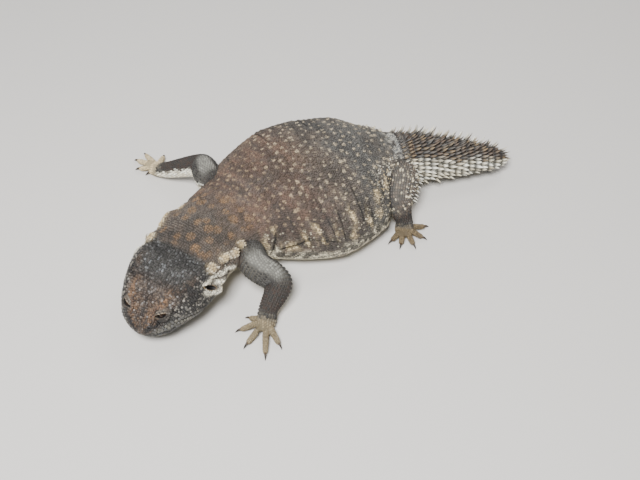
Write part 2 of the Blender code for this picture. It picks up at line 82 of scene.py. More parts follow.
camera_data = bpy.data.cameras.new("camera")
camera_data.sensor_width = 36
camera_data.lens = camera_data.sensor_width * FOCAL_PIXELS / PHOTO_WIDTH
camera_data.clip_start = 0.01
camera = bpy.data.objects.new("camera", camera_data)
aim(camera, CAMERA_AZIMUTH, CAMERA_ELEVATION, CAMERA_DISTANCE, CAMERA_TARGET)
bpy.context.scene.camera = camera

soft_box("key", azimuth=-44, elevation=60, distance=0.85, size=0.28, power=14)
soft_box("fill", azimuth=-150, elevation=35, distance=1.2, size=0.8, power=2, colour=(0.93, 0.96, 1))
soft_box("rim", azimuth=120, elevation=50, distance=1.1, size=0.5, power=3, colour=(1, 0.97, 0.93))
world = bpy.data.worlds.new("room")
bpy.context.scene.world = world
world.use_nodes = True
room_light = world.node_tree.nodes["Background"].inputs
room_light["Color"].default_value = (0.72, 0.73, 0.75, 1)
room_light["Strength"].default_value = 0.3

FLOOR_HALF = 1.5
floor_mesh = bpy.data.meshes.new("floor")
floor_corners = [(x * FLOOR_HALF, y * FLOOR_HALF, 0) for x, y in ((-1, -1), (1, -1), (1, 1), (-1, 1))]
floor_mesh.from_pydata(floor_corners, [], [(0, 1, 2, 3)])
floor = bpy.data.objects.new("floor", floor_mesh)
bpy.context.scene.collection.objects.link(floor)
paper = bpy.data.materials.new("studio_paper")
paper.use_nodes = True
paper_look = paper.node_tree.nodes["Principled BSDF"].inputs
paper_look["Base Color"].default_value = (0.66, 0.64, 0.61, 1)
paper_look["Roughness"].default_value = 0.8
floor_mesh.materials.append(paper)


# Skin. One closed hide over the trunk, legs and toes, with no seam. It is the frame's own shape, worked
# out finely from the same sections and drawn in by the height of the scales that lie over it.
COAT = 0.35 * MM  # height of the scales over the hide
SNOUT, NAPE, VENT, TAIL_TIP = (place * MM for place in (-136, -92, 61, 116))
SNOUT_ROUND, TAIL_ROUND = 8 * MM, 7 * MM  # how far the rounding of the two ends reaches
BELLY_LEVEL = 13 * MM  # of the backbone line over the floor, where the belly rests
TRUNK_RADIUS, HEAD_RADIUS = 20, 13  # mean ones in millimetres, which turn angles into distances on the skin
# The backbone line's way tailwards: place, and degrees turned from +X towards +Y, and risen
HEADINGS = [
    (-137, 45), (-118, 38), (-98, 33.5), (-80, 30), (-62, 21.8), (-42, 13.3), (-20, 6.2),
    (0, 1.5), (20, -1.8), (42, -7.7), (62, -17), (84, -23), (117, -27),
]
PITCHES = [
    (-137, 22), (-110, 13), (-92, 9.5), (-75, -11.8), (-60, -14.5), (-45, -4.4), (-20, -0.5),
    (0, 0), (50, 0), (65, -4.5), (117, -2),
]
# Cross-sections: place, half width, height above the line, depth below it, squareness above and below
TRUNK = [
    (-136, 10.2, 9.0, 6.5, 1.0, 1.0),
    (-129, 13.7, 10.5, 7.5, 0.9, 1.0),
    (-121, 18.2, 13.6, 9.0, 0.85, 0.9),
    (-111, 22.0, 14.3, 10.6, 0.85, 0.9),
    (-100, 23.6, 14.2, 12.0, 0.9, 0.9),
    (-90, 23.8, 13.6, 12.5, 1.0, 0.9),
    (-72, 25.2, 15.9, 13.0, 1.0, 0.9),
    (-54, 29.8, 19.9, 13.0, 1.0, 0.8),
    (-32, 42.6, 22.6, 13.8, 1.0, 0.75),
    (-8, 50.4, 25.4, 14.0, 1.0, 0.7),
    (24, 43.6, 21.7, 14.0, 1.0, 0.7),
    (37, 29.5, 18.6, 13.8, 1.0, 0.7),
    (48, 19.5, 15.8, 13.0, 1.0, 0.8),
    (61, 16.4, 12.9, 10.0, 1.0, 0.9),
    (78, 14.7, 9.8, 7.0, 1.0, 0.9),
    (98, 10.7, 7.5, 5.4, 1.0, 1.0),
    (116, 5.9, 4.9, 3.6, 1.0, 1.0),
]
# Swellings and hollows on both sides: place, degrees up from the right side, height, reach along and around
RELIEF = [
    (-123, 117, 1.3, 7, 9),  # brow ridge
    (-126, 90, -0.8, 6, 12),  # forehead between the brows
    (-133, 122, 0.5, 2.5, 12),  # round the nostril
    (-104, 140, 1.2, 8, 17),  # temple
    (-107, 197, 1.0, 8, 14),  # jaw
    (-98, 180, 2.4, 3.2, 15),  # cheek fold under the ear
    (-96.5, 165, -1.6, 2.6, 22),  # behind the jaw
    (-91, 168, 1.2, 2.6, 24),  # side folds of the neck
    (-86, 165, -1.3, 2.4, 22),
    (-80, 160, 1.2, 3.0, 22),
    (-74, 168, -1.6, 3.0, 22),
    (-94, 143, 1.2, 3.2, 8),  # lobes of the neck
    (-85, 148, 1.5, 3.2, 8),
    (-77, 150, 1.3, 3.4, 8),
]
# Creases of the hide on both sides: place and degrees at the start and end, depth and half width
CREASES = [
    (-91, 94, -101, 143, 0.5, 0.9),  # from the crown's rear edge to the ear
    (-113, 128, -105, 140, 0.4, 1.0),  # behind the brow, over the cheek
    (-68, 149, -60, 185, 1.5, 0.7),  # before the armpit
    (-48, 147, -54, 183, 1.4, 0.7),  # behind it
    (-49, 174, -31, 158, 1.3, 0.8),  # along the flank
    (-31, 158, -12, 166, 0.8, 0.7),
    (-98, 104, -93, 146, 0.8, 0.6),  # across the nape
    (-92, 146, -95, 168, 0.9, 0.7),
    (-70, 106, -62, 140, 0.5, 0.6),  # over the shoulder
    (-57, 112, -55, 142, 0.4, 0.6),
    (44, 100, 50, 140, 0.6, 1.0),  # before the hip
    (-38, 122, -34, 156, 0.6, 0.6),  # upright wrinkles of the flank
    (-16, 118, -15, 160, 0.7, 0.6),
    (-7, 132, -9, 168, 0.7, 0.6),
    (8, 122, 7, 162, 0.7, 0.6),
    (15, 136, 13, 168, 0.6, 0.6),
    (29, 118, 26, 150, 0.6, 0.7),
    (-120, 152, -110, 164, 0.5, 0.6),  # under the eye
    (-116, 118, -110, 136, 0.5, 0.6),  # behind the brow
]
# Pale ridges of skin round each ear and down the neck, given in the same way, with their height
RIDGES = [
    (-103.5, 147, -99, 153, 0.8, 1.0),
    (-99, 153, -94, 158, 1.0, 1.1),
    (-94, 158, -90, 164, 1.1, 1.1),
    (-90, 164, -86, 174, 1.0, 1.2),
    (-86, 174, -82, 182, 0.8, 1.3),
    (-105.5, 160, -104, 172, 0.6, 1.0),
    (-104, 172, -98, 184, 0.8, 1.5),
    (-98, 184, -92, 176, 0.9, 1.6),
    (-97, 166, -93, 178, 0.5, 1.2),
]
MOUTH = [(-137, 150), (-134, 150), (-129, 158), (-123, 170), (-116, 184), (-110, 190)]
MOUTH_END = -112 * MM
LIP, MOUTH_DEPTH, MOUTH_HALF_WIDTH = 0.4 * MM, 1.2 * MM, 0.6 * MM
WRINKLE, WRINKLE_HEIGHT = 3.1 * MM, 0.2 * MM  # fine upright folds of the flank
WRINKLE_ROW = 8  # the one row of the noise that spaces them unevenly
UNEVEN, UNEVEN_HEIGHT = 4.2 * MM, 0.5 * MM  # soft bumps all over
EYE_PLACE, EYE_ANGLE, ORBIT, ORBIT_FLOOR = -125.5 * MM, 130, 4.7 * MM, 1.3 * MM
EAR_PLACE, EAR_ANGLE, EAR_HALF_LENGTH, EAR_HALF_HEIGHT = -101.0 * MM, 164, 1.3 * MM, 3.9 * MM
EAR_SLANT = 32  # degrees that the ear's lower end lies further back than upright
SIDES = (("left", 1), ("right", -1))


def ease(t):
    """0 to 1, starting and ending level: 3t^2 - 2t^3."""
    t = np.clip(t, 0, 1)
    return t * t * (3 - 2 * t)


def bell(distance, reach):
    """1 at no distance, falling as a bell curve: the exponential of minus (distance / reach)^2."""
    return np.exp(-((distance / reach) ** 2))


def through(at, places, values):
    """A smooth curve through the values at the places, which never swings past them: cubic pieces whose
    slope at each place is the harmonic mean of the slopes on its two sides."""
    x, y = np.asarray(places, float), np.asarray(values, float)
    step = np.diff(x)
    slope = np.diff(y) / step
    same_way = slope[:-1] * slope[1:] > 0
    total = np.where(same_way, slope[:-1] + slope[1:], 1)
    inner = np.where(same_way, 2 * slope[:-1] * slope[1:] / total, 0)
    slopes = np.concatenate([slope[:1], inner, slope[-1:]])
    i = np.clip(np.searchsorted(x, at) - 1, 0, len(step) - 1)
    t = (at - x[i]) / step[i]
    bend = step[i] * (slopes[i] * t * (1 - t) ** 2 - slopes[i + 1] * t * t * (1 - t))
    return y[i] * (1 - ease(t)) + y[i + 1] * ease(t) + bend


def along(s, pairs):
    """The pairs' second number at this place, the first being in millimetres."""
    places, values = zip(*pairs)
    return through(s, np.array(places) * MM, values)


LINE_S = np.linspace(SNOUT - 1 * MM, TAIL_TIP + 1 * MM, 1024)


def walk_line():
    """The backbone line's points: the running sum of short steps along its heading and pitch."""
    mid = (LINE_S[1:] + LINE_S[:-1]) / 2
    heading, pitch = np.radians(along(mid, HEADINGS)), np.radians(along(mid, PITCHES))
    steps = np.stack([np.cos(pitch) * np.cos(heading), np.cos(pitch) * np.sin(heading), np.sin(pitch)], 1)
    points = np.concatenate([np.zeros((1, 3)), np.cumsum(steps * np.diff(LINE_S)[:, None], 0)])
    at_belly = [np.interp(0, LINE_S, points[:, k]) for k in range(3)]
    return points - at_belly + [0, 0, BELLY_LEVEL]


LINE = walk_line()


def line_frame(s):
    """Point on the line, and the unit vectors to the animal's right, up and tailwards there."""
    point = np.stack([np.interp(s, LINE_S, LINE[:, k]) for k in range(3)], -1)
    h, p = np.radians(along(s, HEADINGS)), np.radians(along(s, PITCHES))
    right = np.stack([-np.sin(h), np.cos(h), 0 * s], -1)
    up = np.stack([-np.sin(p) * np.cos(h), -np.sin(p) * np.sin(h), np.cos(p)], -1)
    tailwards = np.stack([np.cos(p) * np.cos(h), np.cos(p) * np.sin(h), np.sin(p)], -1)
    return point, right, up, tailwards


def closing(s):
    """1 along the animal, falling to 0 round the ends of the snout and the tail, as a quarter circle."""
    front = np.clip((s - SNOUT) / SNOUT_ROUND, 0, 1)
    back = np.clip((TAIL_TIP - s) / TAIL_ROUND, 0, 1)
    return np.sqrt(front * (2 - front)) * np.sqrt(back * (2 - back))


def left_degrees(angle):
    """The angle in degrees, from 90 on the back to 270 under the belly, folded onto the left side."""
    return np.degrees(np.arctan2(np.sin(angle), -np.abs(np.cos(angle)))) % 360


def mouth_offset(s, angle):
    """Distance over the skin from the mouth's line, above 0 below it, and 1 where there is a mouth."""
    line = along(np.clip(s, SNOUT, MOUTH_END), MOUTH)
    return np.radians(left_degrees(angle) - line) * HEAD_RADIUS * MM, ease((MOUTH_END - s) / (3 * MM))


def crease(s, angle, start, from_degrees, end, to_degrees, half_width):
    """1 along a line from one place and angle to another, falling to 0 at its sides and its ends."""
    radius = 24.0
    way = np.array([end - start, np.radians(to_degrees - from_degrees) * radius])
    x, y = s / MM - start, np.radians(left_degrees(angle) - from_degrees) * radius
    t = np.clip((x * way[0] + y * way[1]) / (way @ way), 0, 1)
    off = np.hypot(x - t * way[0], y - t * way[1])
    return bell(off, half_width) * (0.35 + 0.65 * np.sqrt(np.clip(4 * t * (1 - t), 0, 1)))


def dice(seed, *numbers):
    """A fixed draw from 0 to 1 for each set of whole numbers: the fraction of a large sine."""
    total = 7.31 * seed
    for k, number in enumerate(numbers):
        total = total + number * (12.9898, 78.233, 37.719)[k]
    return np.mod(np.sin(total) * 43758.5453, 1)


def noise(x, y, size, seed):
    """Smooth noise from 0 to 1: draws at the corners of squares of this size, eased between."""
    column, row = np.floor(x / size), np.floor(y / size)
    a, b = ease(x / size - column), ease(y / size - row)
    near = dice(seed, column, row) * (1 - a) + dice(seed, column + 1, row) * a
    far = dice(seed, column, row + 1) * (1 - a) + dice(seed, column + 1, row + 1) * a
    return near * (1 - b) + far * b


def oval(s, left, place, degrees, reach, around):
    """1 at a place and an angle of the skin, falling as a bell curve along it and around it."""
    return np.exp(-(((s / MM - place) / reach) ** 2) - ((left - degrees) / around) ** 2)


def relief(s, angle):
    """Height of the swellings, folds, creases and lips: a sum of bell curves, the same on both sides."""
    left = left_degrees(angle)
    arc = np.radians(left - 90) * TRUNK_RADIUS * MM
    height = UNEVEN_HEIGHT * (noise(s, arc, UNEVEN, 91) - 0.6)
    height = height + 0.4 * UNEVEN_HEIGHT * (noise(s, arc, 0.45 * UNEVEN, 92) - 0.6)
    for place, degrees, high, *reaches in RELIEF:
        height = height + high * MM * oval(s, left, place, degrees, *reaches)
    for way, lines in ((-1, CREASES), (1, RIDGES)):
        for *ends, high, half_width in lines:
            height = height + way * high * MM * crease(s, angle, *ends, half_width)
    flank = bell(left - 146, 30) * bell(s - 2 * MM, 42 * MM)
    run = s - 0.09 * MM * (left - 150) + 2.4 * MM * noise(s, WRINKLE_ROW, 9 * MM, 93)
    height = height + WRINKLE_HEIGHT * flank * (1 - 2 * np.abs(np.sin(np.pi * run / WRINKLE)) ** 0.6)
    off, shut = mouth_offset(s, angle)
    return height + shut * (LIP * bell(off, 2.2 * MM) - (LIP + MOUTH_DEPTH) * bell(off, MOUTH_HALF_WIDTH))


def section(s):
    """Half width, height above the line, depth below it and the two squarenesses at a place."""
    places = np.array([row[0] for row in TRUNK]) * MM
    values = [through(s, places, [row[k] for row in TRUNK]) for k in range(1, 6)]
    return [value * MM for value in values[:3]] + values[3:]


def trunk_point(s, angle, grow=-COAT):
    """The trunk's surface at a place and an angle round it, 0 being its right side and 90 degrees its back:
    a squared ellipse across the line, with the relief added, and flat where it meets the floor."""
    half_width, above, below, upper, lower = section(s)
    cos, sin = np.cos(angle), np.sin(angle)
    squareness = np.where(sin > 0, upper, lower)
    grow = (grow + relief(s, angle)) * closing(s)
    across = (half_width * closing(s) + grow) * np.sign(cos) * np.abs(cos) ** squareness
    height = (np.where(sin > 0, above, below) * closing(s) + grow) * np.sign(sin) * np.abs(sin) ** squareness
    point, right, up, _ = line_frame(s)
    surface = point + across[..., None] * right + height[..., None] * up
    surface[..., 2] = np.maximum(surface[..., 2], COAT)
    return surface


def trunk_place(points):
    """Place and angle on the trunk for points near it, and how far out they lie, 1 being on its surface."""
    line, line_s = LINE[::12], LINE_S[::12]
    parts = np.array_split(points, 40)
    s = line_s[np.concatenate([((part[:, None] - line) ** 2).sum(-1).argmin(1) for part in parts])]
    for _ in range(4):
        point, right, up, tailwards = line_frame(s)
        s = np.clip(s + ((points - point) * tailwards).sum(-1), SNOUT + 0.1 * MM, TAIL_TIP - 0.1 * MM)
    point, right, up, _ = line_frame(s)
    x, z = ((points - point) * right).sum(-1), ((points - point) * up).sum(-1)
    half_width, above, below, upper, lower = section(s)
    squareness = np.where(z > 0, upper, lower)
    cos = np.sign(x) * (np.abs(x) / (half_width * closing(s))) ** (1 / squareness)
    sin = np.sign(z) * (np.abs(z) / (np.where(z > 0, above, below) * closing(s))) ** (1 / squareness)
    return s, np.arctan2(sin, cos) % (2 * np.pi), np.hypot(cos, sin) ** squareness


# The legs: joints from the shoulder or hip to the front of the palm, and the five toes' tips in plan. The
# sizes are the half width and half height at each joint.
Limb = namedtuple("Limb", "name joints sizes toes")
FORE_SIZES = [(8, 8), (8, 7.8), (7.4, 6.8), (5, 4.4), (5.2, 3.3), (4.6, 2.6)]
HIND_SIZES = [(10, 9), (10.5, 9), (7.5, 7), (4.8, 4.5), (5.2, 3.3), (4.8, 2.6)]
LEG_ROWS = [
    (
        "left_fore", FORE_SIZES,
        [(-52, -20, 19), (-55, -40, 18), (-48, -54, 14), (-58, -63, 6.5), (-61, -67, 3.2), (-65, -70, 2.6)],
        [(-69, -58), (-77, -64), (-77, -75), (-70, -86), (-60, -84)],
    ),
    (
        "right_fore", FORE_SIZES,
        [(-50, 10, 20), (-54, 25, 20), (-53, 38, 17), (-70, 55, 7), (-74, 62, 3.2), (-77, 67, 2.6)],
        [(-82, 63), (-86, 70), (-84, 78), (-77, 81), (-66, 74)],
    ),
    (
        "left_hind", HIND_SIZES,
        [(48, -6, 14), (43, -21, 17), (34, -35, 14), (34.5, -41, 7.5), (33, -44.5, 3.2), (31, -47, 2.6)],
        [(21, -48), (25, -54), (33, -58), (42, -55), (48, -47)],
    ),
    (
        "right_hind", HIND_SIZES,
        [(48, 0, 13), (43, 14, 14.5), (33, 29, 13), (34.5, 36, 7.5), (35, 40.5, 3.2), (36, 44, 2.6)],
        [(28, 46), (31, 51), (37, 53), (44, 51), (48, 44)],
    ),
]
LIMBS = [Limb(row[0], *(np.array(row[k]) * MM for k in (2, 1, 3))) for row in LEG_ROWS]
CLAW_REACH = 2.9 * MM  # from the end of the toe's flesh to the claw's tip
TANGENT = 0.35  # half the run, in joints, over which a path's direction is taken


def path(joints, t):
    """The smooth line through the joints, t being counted in joints."""
    return np.stack([through(t, np.arange(len(joints)), joints[:, k]) for k in range(3)], -1)


def tube_point(joints, sizes, t, angle, grow=-COAT, round_length=None):
    """The surface of a leg or toe: an ellipse carried along the path through its joints, closed at its
    far end over round_length joints as a quarter circle. Angle 90 degrees is its top."""
    last = len(joints) - 1
    ahead = path(joints, np.clip(t + TANGENT, 0, last)) - path(joints, np.clip(t - TANGENT, 0, last))
    ahead /= np.linalg.norm(ahead, axis=-1)[..., None]
    side = np.cross([0, 0, 1], ahead)
    side /= np.linalg.norm(side, axis=-1)[..., None]
    up = np.cross(ahead, side)
    shut = 1.0
    if round_length:
        reach = np.clip((last - t) / round_length, 0, 1)
        shut = np.sqrt(reach * (2 - reach))
    width, height = ((through(t, np.arange(last + 1), sizes[:, k]) + grow) * shut for k in range(2))
    surface = path(joints, t) + (width * np.cos(angle))[..., None] * side
    surface = surface + (height * np.sin(angle))[..., None] * up
    surface[..., 2] = np.maximum(surface[..., 2], COAT)
    return surface


def toe_bones(limb, k):
    """A toe's joints and sizes: from the palm, up over the knuckle and down to the claw."""
    root = limb.joints[4] * [1, 1, 0]
    ahead = np.array([*limb.toes[k], 0]) - root
    reach = np.linalg.norm(ahead)
    ahead /= reach
    end = reach - CLAW_REACH
    far = np.array([0.12 * reach, 0.45 * end, 0.78 * end, end])
    joints = root + far[:, None] * ahead + np.array([2.9, 3.6, 2.4, 1.7])[:, None] * [0, 0, MM]
    return joints, np.array([(1.9, 1.8), (1.75, 1.7), (1.6, 1.65), (1.35, 1.45)]) * MM, ahead


def leg_surface(limb):
    """A leg's surface, as a function of the joint count along it and the angle round it."""
    return partial(tube_point, limb.joints, limb.sizes, round_length=0.8)


def toe_surface(limb, k):
    """A toe's surface in the same way."""
    joints, sizes, _ = toe_bones(limb, k)
    return partial(tube_point, joints, sizes, round_length=0.5)


def limb_place(limb, points):
    """Joint count along a leg for points near it, and how far out they lie, 1 being on its surface."""
    t = np.linspace(0, len(limb.joints) - 1, 90)
    spine = path(limb.joints, t)
    size = np.stack([through(t, np.arange(len(limb.joints)), limb.sizes[:, k]) for k in range(2)]).mean(0)
    far = np.linalg.norm(points[:, None] - spine, axis=-1) / size
    nearest = far.argmin(1)
    return t[nearest], far[np.arange(len(points)), nearest]


def quads(rows, columns):
    """Faces of a grid of rows by columns whose rows close on themselves, turned outwards."""
    r, c = np.meshgrid(np.arange(rows - 1), np.arange(columns), indexing="ij")
    d = (c + 1) % columns
    corners = [r * columns + c, r * columns + d, (r + 1) * columns + d, (r + 1) * columns + c]
    return np.stack(corners, -1).reshape(-1, 4)


def mesh_object(name, points, faces):
    """An object from an array of points and an array of faces that all have equally many corners."""
    mesh = bpy.data.meshes.new(name)
    mesh.vertices.add(len(points))
    mesh.vertices.foreach_set("co", np.ascontiguousarray(points, np.float32).ravel())
    mesh.loops.add(faces.size)
    mesh.loops.foreach_set("vertex_index", np.ascontiguousarray(faces, np.int32).ravel())
    mesh.polygons.add(len(faces))
    mesh.polygons.foreach_set("loop_start", np.arange(len(faces), dtype=np.int32) * faces.shape[1])
    mesh.update(calc_edges=True)
    mesh.shade_smooth()
    obj = bpy.data.objects.new(name, mesh)
    bpy.context.scene.collection.objects.link(obj)
    return obj


def closed_tube(grid):
    """Points and faces of a grid of rings with a fan to a middle point at each end."""
    rows, columns = grid.shape[:2]
    ends = np.stack([grid[0].mean(0), grid[-1].mean(0)])
    c = np.arange(columns)
    d = (c + 1) % columns
    middle = np.full(columns, rows * columns)
    first = np.stack([middle, d, c], -1)
    last = np.stack([middle + 1, (rows - 1) * columns + c, (rows - 1) * columns + d], -1)
    return np.concatenate([grid.reshape(-1, 3), ends]), quads(rows, columns), np.concatenate([first, last])


def tube_mesh(grids):
    """Points and triangles of closed tubes, one for each grid of rings."""
    points, triangles, count = [], [], 0
    for grid in grids:
        verts, sides, caps = closed_tube(grid)
        triangles += [sides[:, [0, 1, 2]] + count, sides[:, [0, 2, 3]] + count, caps + count]
        points.append(verts)
        count += len(verts)
    return np.concatenate(points), np.concatenate(triangles)


def rings(surface, along_at, around):
    """The grid of a surface of two parameters: one row for each place along, one column for each angle."""
    return surface(along_at[:, None] + 0 * around, around + 0 * along_at[:, None])


def round_angles(count):
    """Angles evenly spaced round a circle, from 0."""
    return 2 * np.pi * np.arange(count) / count


def flesh():
    """The closed tubes that the hide covers: trunk, legs and toes. The trunk's rings stand closer near its
    ends: their places follow a cosine."""
    ends_close = 0.5 - 0.5 * np.cos(np.pi * np.linspace(0.012, 0.988, 420))
    grids = [rings(trunk_point, SNOUT + (TAIL_TIP - SNOUT) * ends_close, round_angles(180))]
    for limb in LIMBS:
        grids.append(rings(leg_surface(limb), np.linspace(0, 4.999, 120), round_angles(40)))
        for k in range(len(limb.toes)):
            grids.append(rings(toe_surface(limb, k), np.linspace(0, 2.999, 40), round_angles(40)))
    return tube_mesh(grids)


SKIN_GRAIN = 0.82 * MM
skin = mesh_object("skin", *flesh())
wrap = skin.modifiers.new("wrap", "REMESH")
wrap.mode = "VOXEL"
wrap.voxel_size = SKIN_GRAIN
smooth = skin.modifiers.new("smooth", "SMOOTH")
smooth.factor = 0.5
smooth.iterations = 3
hide = bpy.data.meshes.new_from_object(skin.evaluated_get(bpy.context.evaluated_depsgraph_get()))
skin.modifiers.clear()
skin.data = hide


def mesh_points(obj, what="co"):
    """The mesh's points, or another vector of each, as an array."""
    values = np.zeros(len(obj.data.vertices) * 3)
    obj.data.vertices.foreach_get(what, values)
    return values.reshape(-1, 3)


def frames(surface, u, v, du, dv):
    """Roots on a surface of two parameters, and the unit vectors ahead (u growing), across and outwards,
    from the differences of near points."""
    ahead = surface(u + du, v) - surface(u - du, v)
    ahead /= np.linalg.norm(ahead, axis=-1)[..., None]
    out = np.cross(surface(u, v + dv) - surface(u, v - dv), ahead)
    out /= np.linalg.norm(out, axis=-1)[..., None]
    return surface(u, v), ahead, np.cross(out, ahead), out


def on_side(degrees, sign):
    """The angle for the animal's left side, or its mirror for the right."""
    return np.radians(90 + sign * (degrees - 90))


def solid_surface(s, angle):
    """The trunk's surface in the solids, over the scales' height."""
    return trunk_point(s, angle, 0.0)


def head_frame(place, degrees, sign):
    """One root on the solids' own surface, and its axes backwards, upwards and outwards."""
    at, around = np.array([place]), np.array([on_side(degrees, sign)])
    root, back, up, outwards = (part[0] for part in frames(solid_surface, at, around, 1.0 * MM, 0.05))
    return root, back, up * np.sign(up[2]), outwards


def ear_frame(sign):
    """The frame at an ear's middle, its upward axis leant forwards by the slant."""
    root, back, up, outwards = head_frame(EAR_PLACE, EAR_ANGLE, sign)
    lean = np.radians(EAR_SLANT)
    return root, np.cos(lean) * back + np.sin(lean) * up, np.cos(lean) * up - np.sin(lean) * back, outwards


def sink(points, centre, axes, half_length, half_height, floor, soft):
    """Presses points inside an oval round an axis down to this height over its middle, with soft edges."""
    x, y, z = ((points - centre) @ axis for axis in axes)
    share = np.hypot(x / half_length, y / half_height)
    inside = ease((1 + soft / 2 - share) / soft) * (z > 0)
    return points + (inside * np.minimum(floor - z, 0))[:, None] * axes[2]


EYE_MIDDLES = {name: sum(np.array(corner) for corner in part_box(name + "_eye")) / 2 for name, _ in SIDES}
hide_points = mesh_points(skin)
for side_name, sign in SIDES:
    eye_axes = head_frame(EYE_PLACE, EYE_ANGLE, sign)[1:]
    hide_points = sink(hide_points, EYE_MIDDLES[side_name], eye_axes, ORBIT, ORBIT, ORBIT_FLOOR, soft=0.3)
    ear_root, *ear_axes = ear_frame(sign)
    deep = ear_root - 5 * MM * ear_axes[2]
    reach = 1.1 * EAR_HALF_LENGTH, 1.05 * EAR_HALF_HEIGHT
    hide_points = sink(hide_points, deep, ear_axes, *reach, floor=2.4 * MM, soft=0.4)
hide.vertices.foreach_set("co", hide_points.astype(np.float32).ravel())
hide.update()


# Markings, shared by the hide and every scale: a dark grey-brown back with rows of cream dots, redder at
# the shoulders and greyer at the hips, orange-brown blotches on the nape, yellow and cream on the flank,
# cream folds behind the jaw, and a tail that is brown above and cream at the sides.
def tone(red, green, blue):
    """A colour as the eye sees it, 0 to 255, turned into the linear values that a shader takes."""
    c = np.array([red, green, blue]) / 255
    return np.where(c <= 0.04045, c / 12.92, ((c + 0.055) / 1.055) ** 2.4)


BROWN, RUST, SLATE, SOOT = tone(100, 84, 70), tone(112, 78, 60), tone(88, 86, 82), tone(34, 31, 30)
ORANGE, OCHRE, YELLOW = tone(138, 96, 60), tone(140, 112, 78), tone(214, 186, 130)
CREAM, CHALK, ASH, TAN = tone(226, 216, 188), tone(240, 238, 224), tone(146, 152, 156), tone(168, 146, 104)
# Yellow-cream streaks of the flank and lobes of the neck: place, degrees, reach along, reach around
FLANK_BLOTCHES = [
    (-57, 162, 2.6, 9), (-49, 140, 1.6, 8), (-43, 168, 5.0, 6), (-33, 158, 2.0, 9), (-24, 148, 1.8, 8),
    (-22, 160, 3.2, 5), (-12, 158, 1.8, 8), (1, 148, 1.8, 8), (-2, 164, 2.4, 5), (11, 158, 1.6, 9),
    (22, 136, 1.9, 10), (19, 156, 2.0, 7), (31, 138, 1.6, 9),
]
NECK_LOBES = [(-93, 143, 2.0, 6), (-85, 149, 1.9, 6), (-80, 153, 1.6, 5), (-73, 150, 2.0, 6)]


def mix(a, b, amount):
    """Colour a turned towards colour b by this share."""
    return a + (b - a) * np.clip(amount, 0, 1)[..., None]


def spots(x, y, step, radius, wander, seed):
    """1 inside round spots that stand in staggered rows and wander a little, fading at their edges."""
    row = np.round(x / step)
    most = 0 * x
    for i in (-1, 0, 1):
        r = row + i
        column = np.round(y / step - 0.5 * (r % 2))
        for j in (-1, 0, 1):
            c = column + j
            middle_x = (r + wander * (dice(seed, r, c) - 0.5)) * step
            middle_y = (c + 0.5 * (r % 2) + wander * (dice(seed + 1, r, c) - 0.5)) * step
            size = radius * (0.65 + 0.6 * dice(seed + 2, r, c))
            most = np.maximum(most, ease(2.4 - 2 * np.hypot(x - middle_x, y - middle_y) / size))
    return most


def between(value, low, high, soft):
    """1 from low to high, easing to 0 over soft at each end."""
    return ease((value - low) / soft + 0.5) * ease((high - value) / soft + 0.5)


def patches(s, angle, rows):
    """1 inside oval patches, each given by its place, degrees, and reach along and around."""
    left = left_degrees(angle)
    return sum(oval(s, left, *row) for row in rows)


def crease_shade(s, angle):
    """How deep in a crease a place lies, from 0 to 1, which sets the painted shade there."""
    return np.clip(sum(row[4] * crease(s, angle, *row[:4], row[5]) for row in CREASES), 0, 1)


def back_dots(x, y, side):
    """1 inside the round dots of the back, which fade out towards the neck, the hips and the flanks."""
    strength = 0.3 + 0.7 * noise(x, y, 5.0, 23)
    return strength * spots(x, y, 4.5, 0.92, 0.6, 21) * between(x, -60, 48, 8) * between(side, -1, 54, 12)


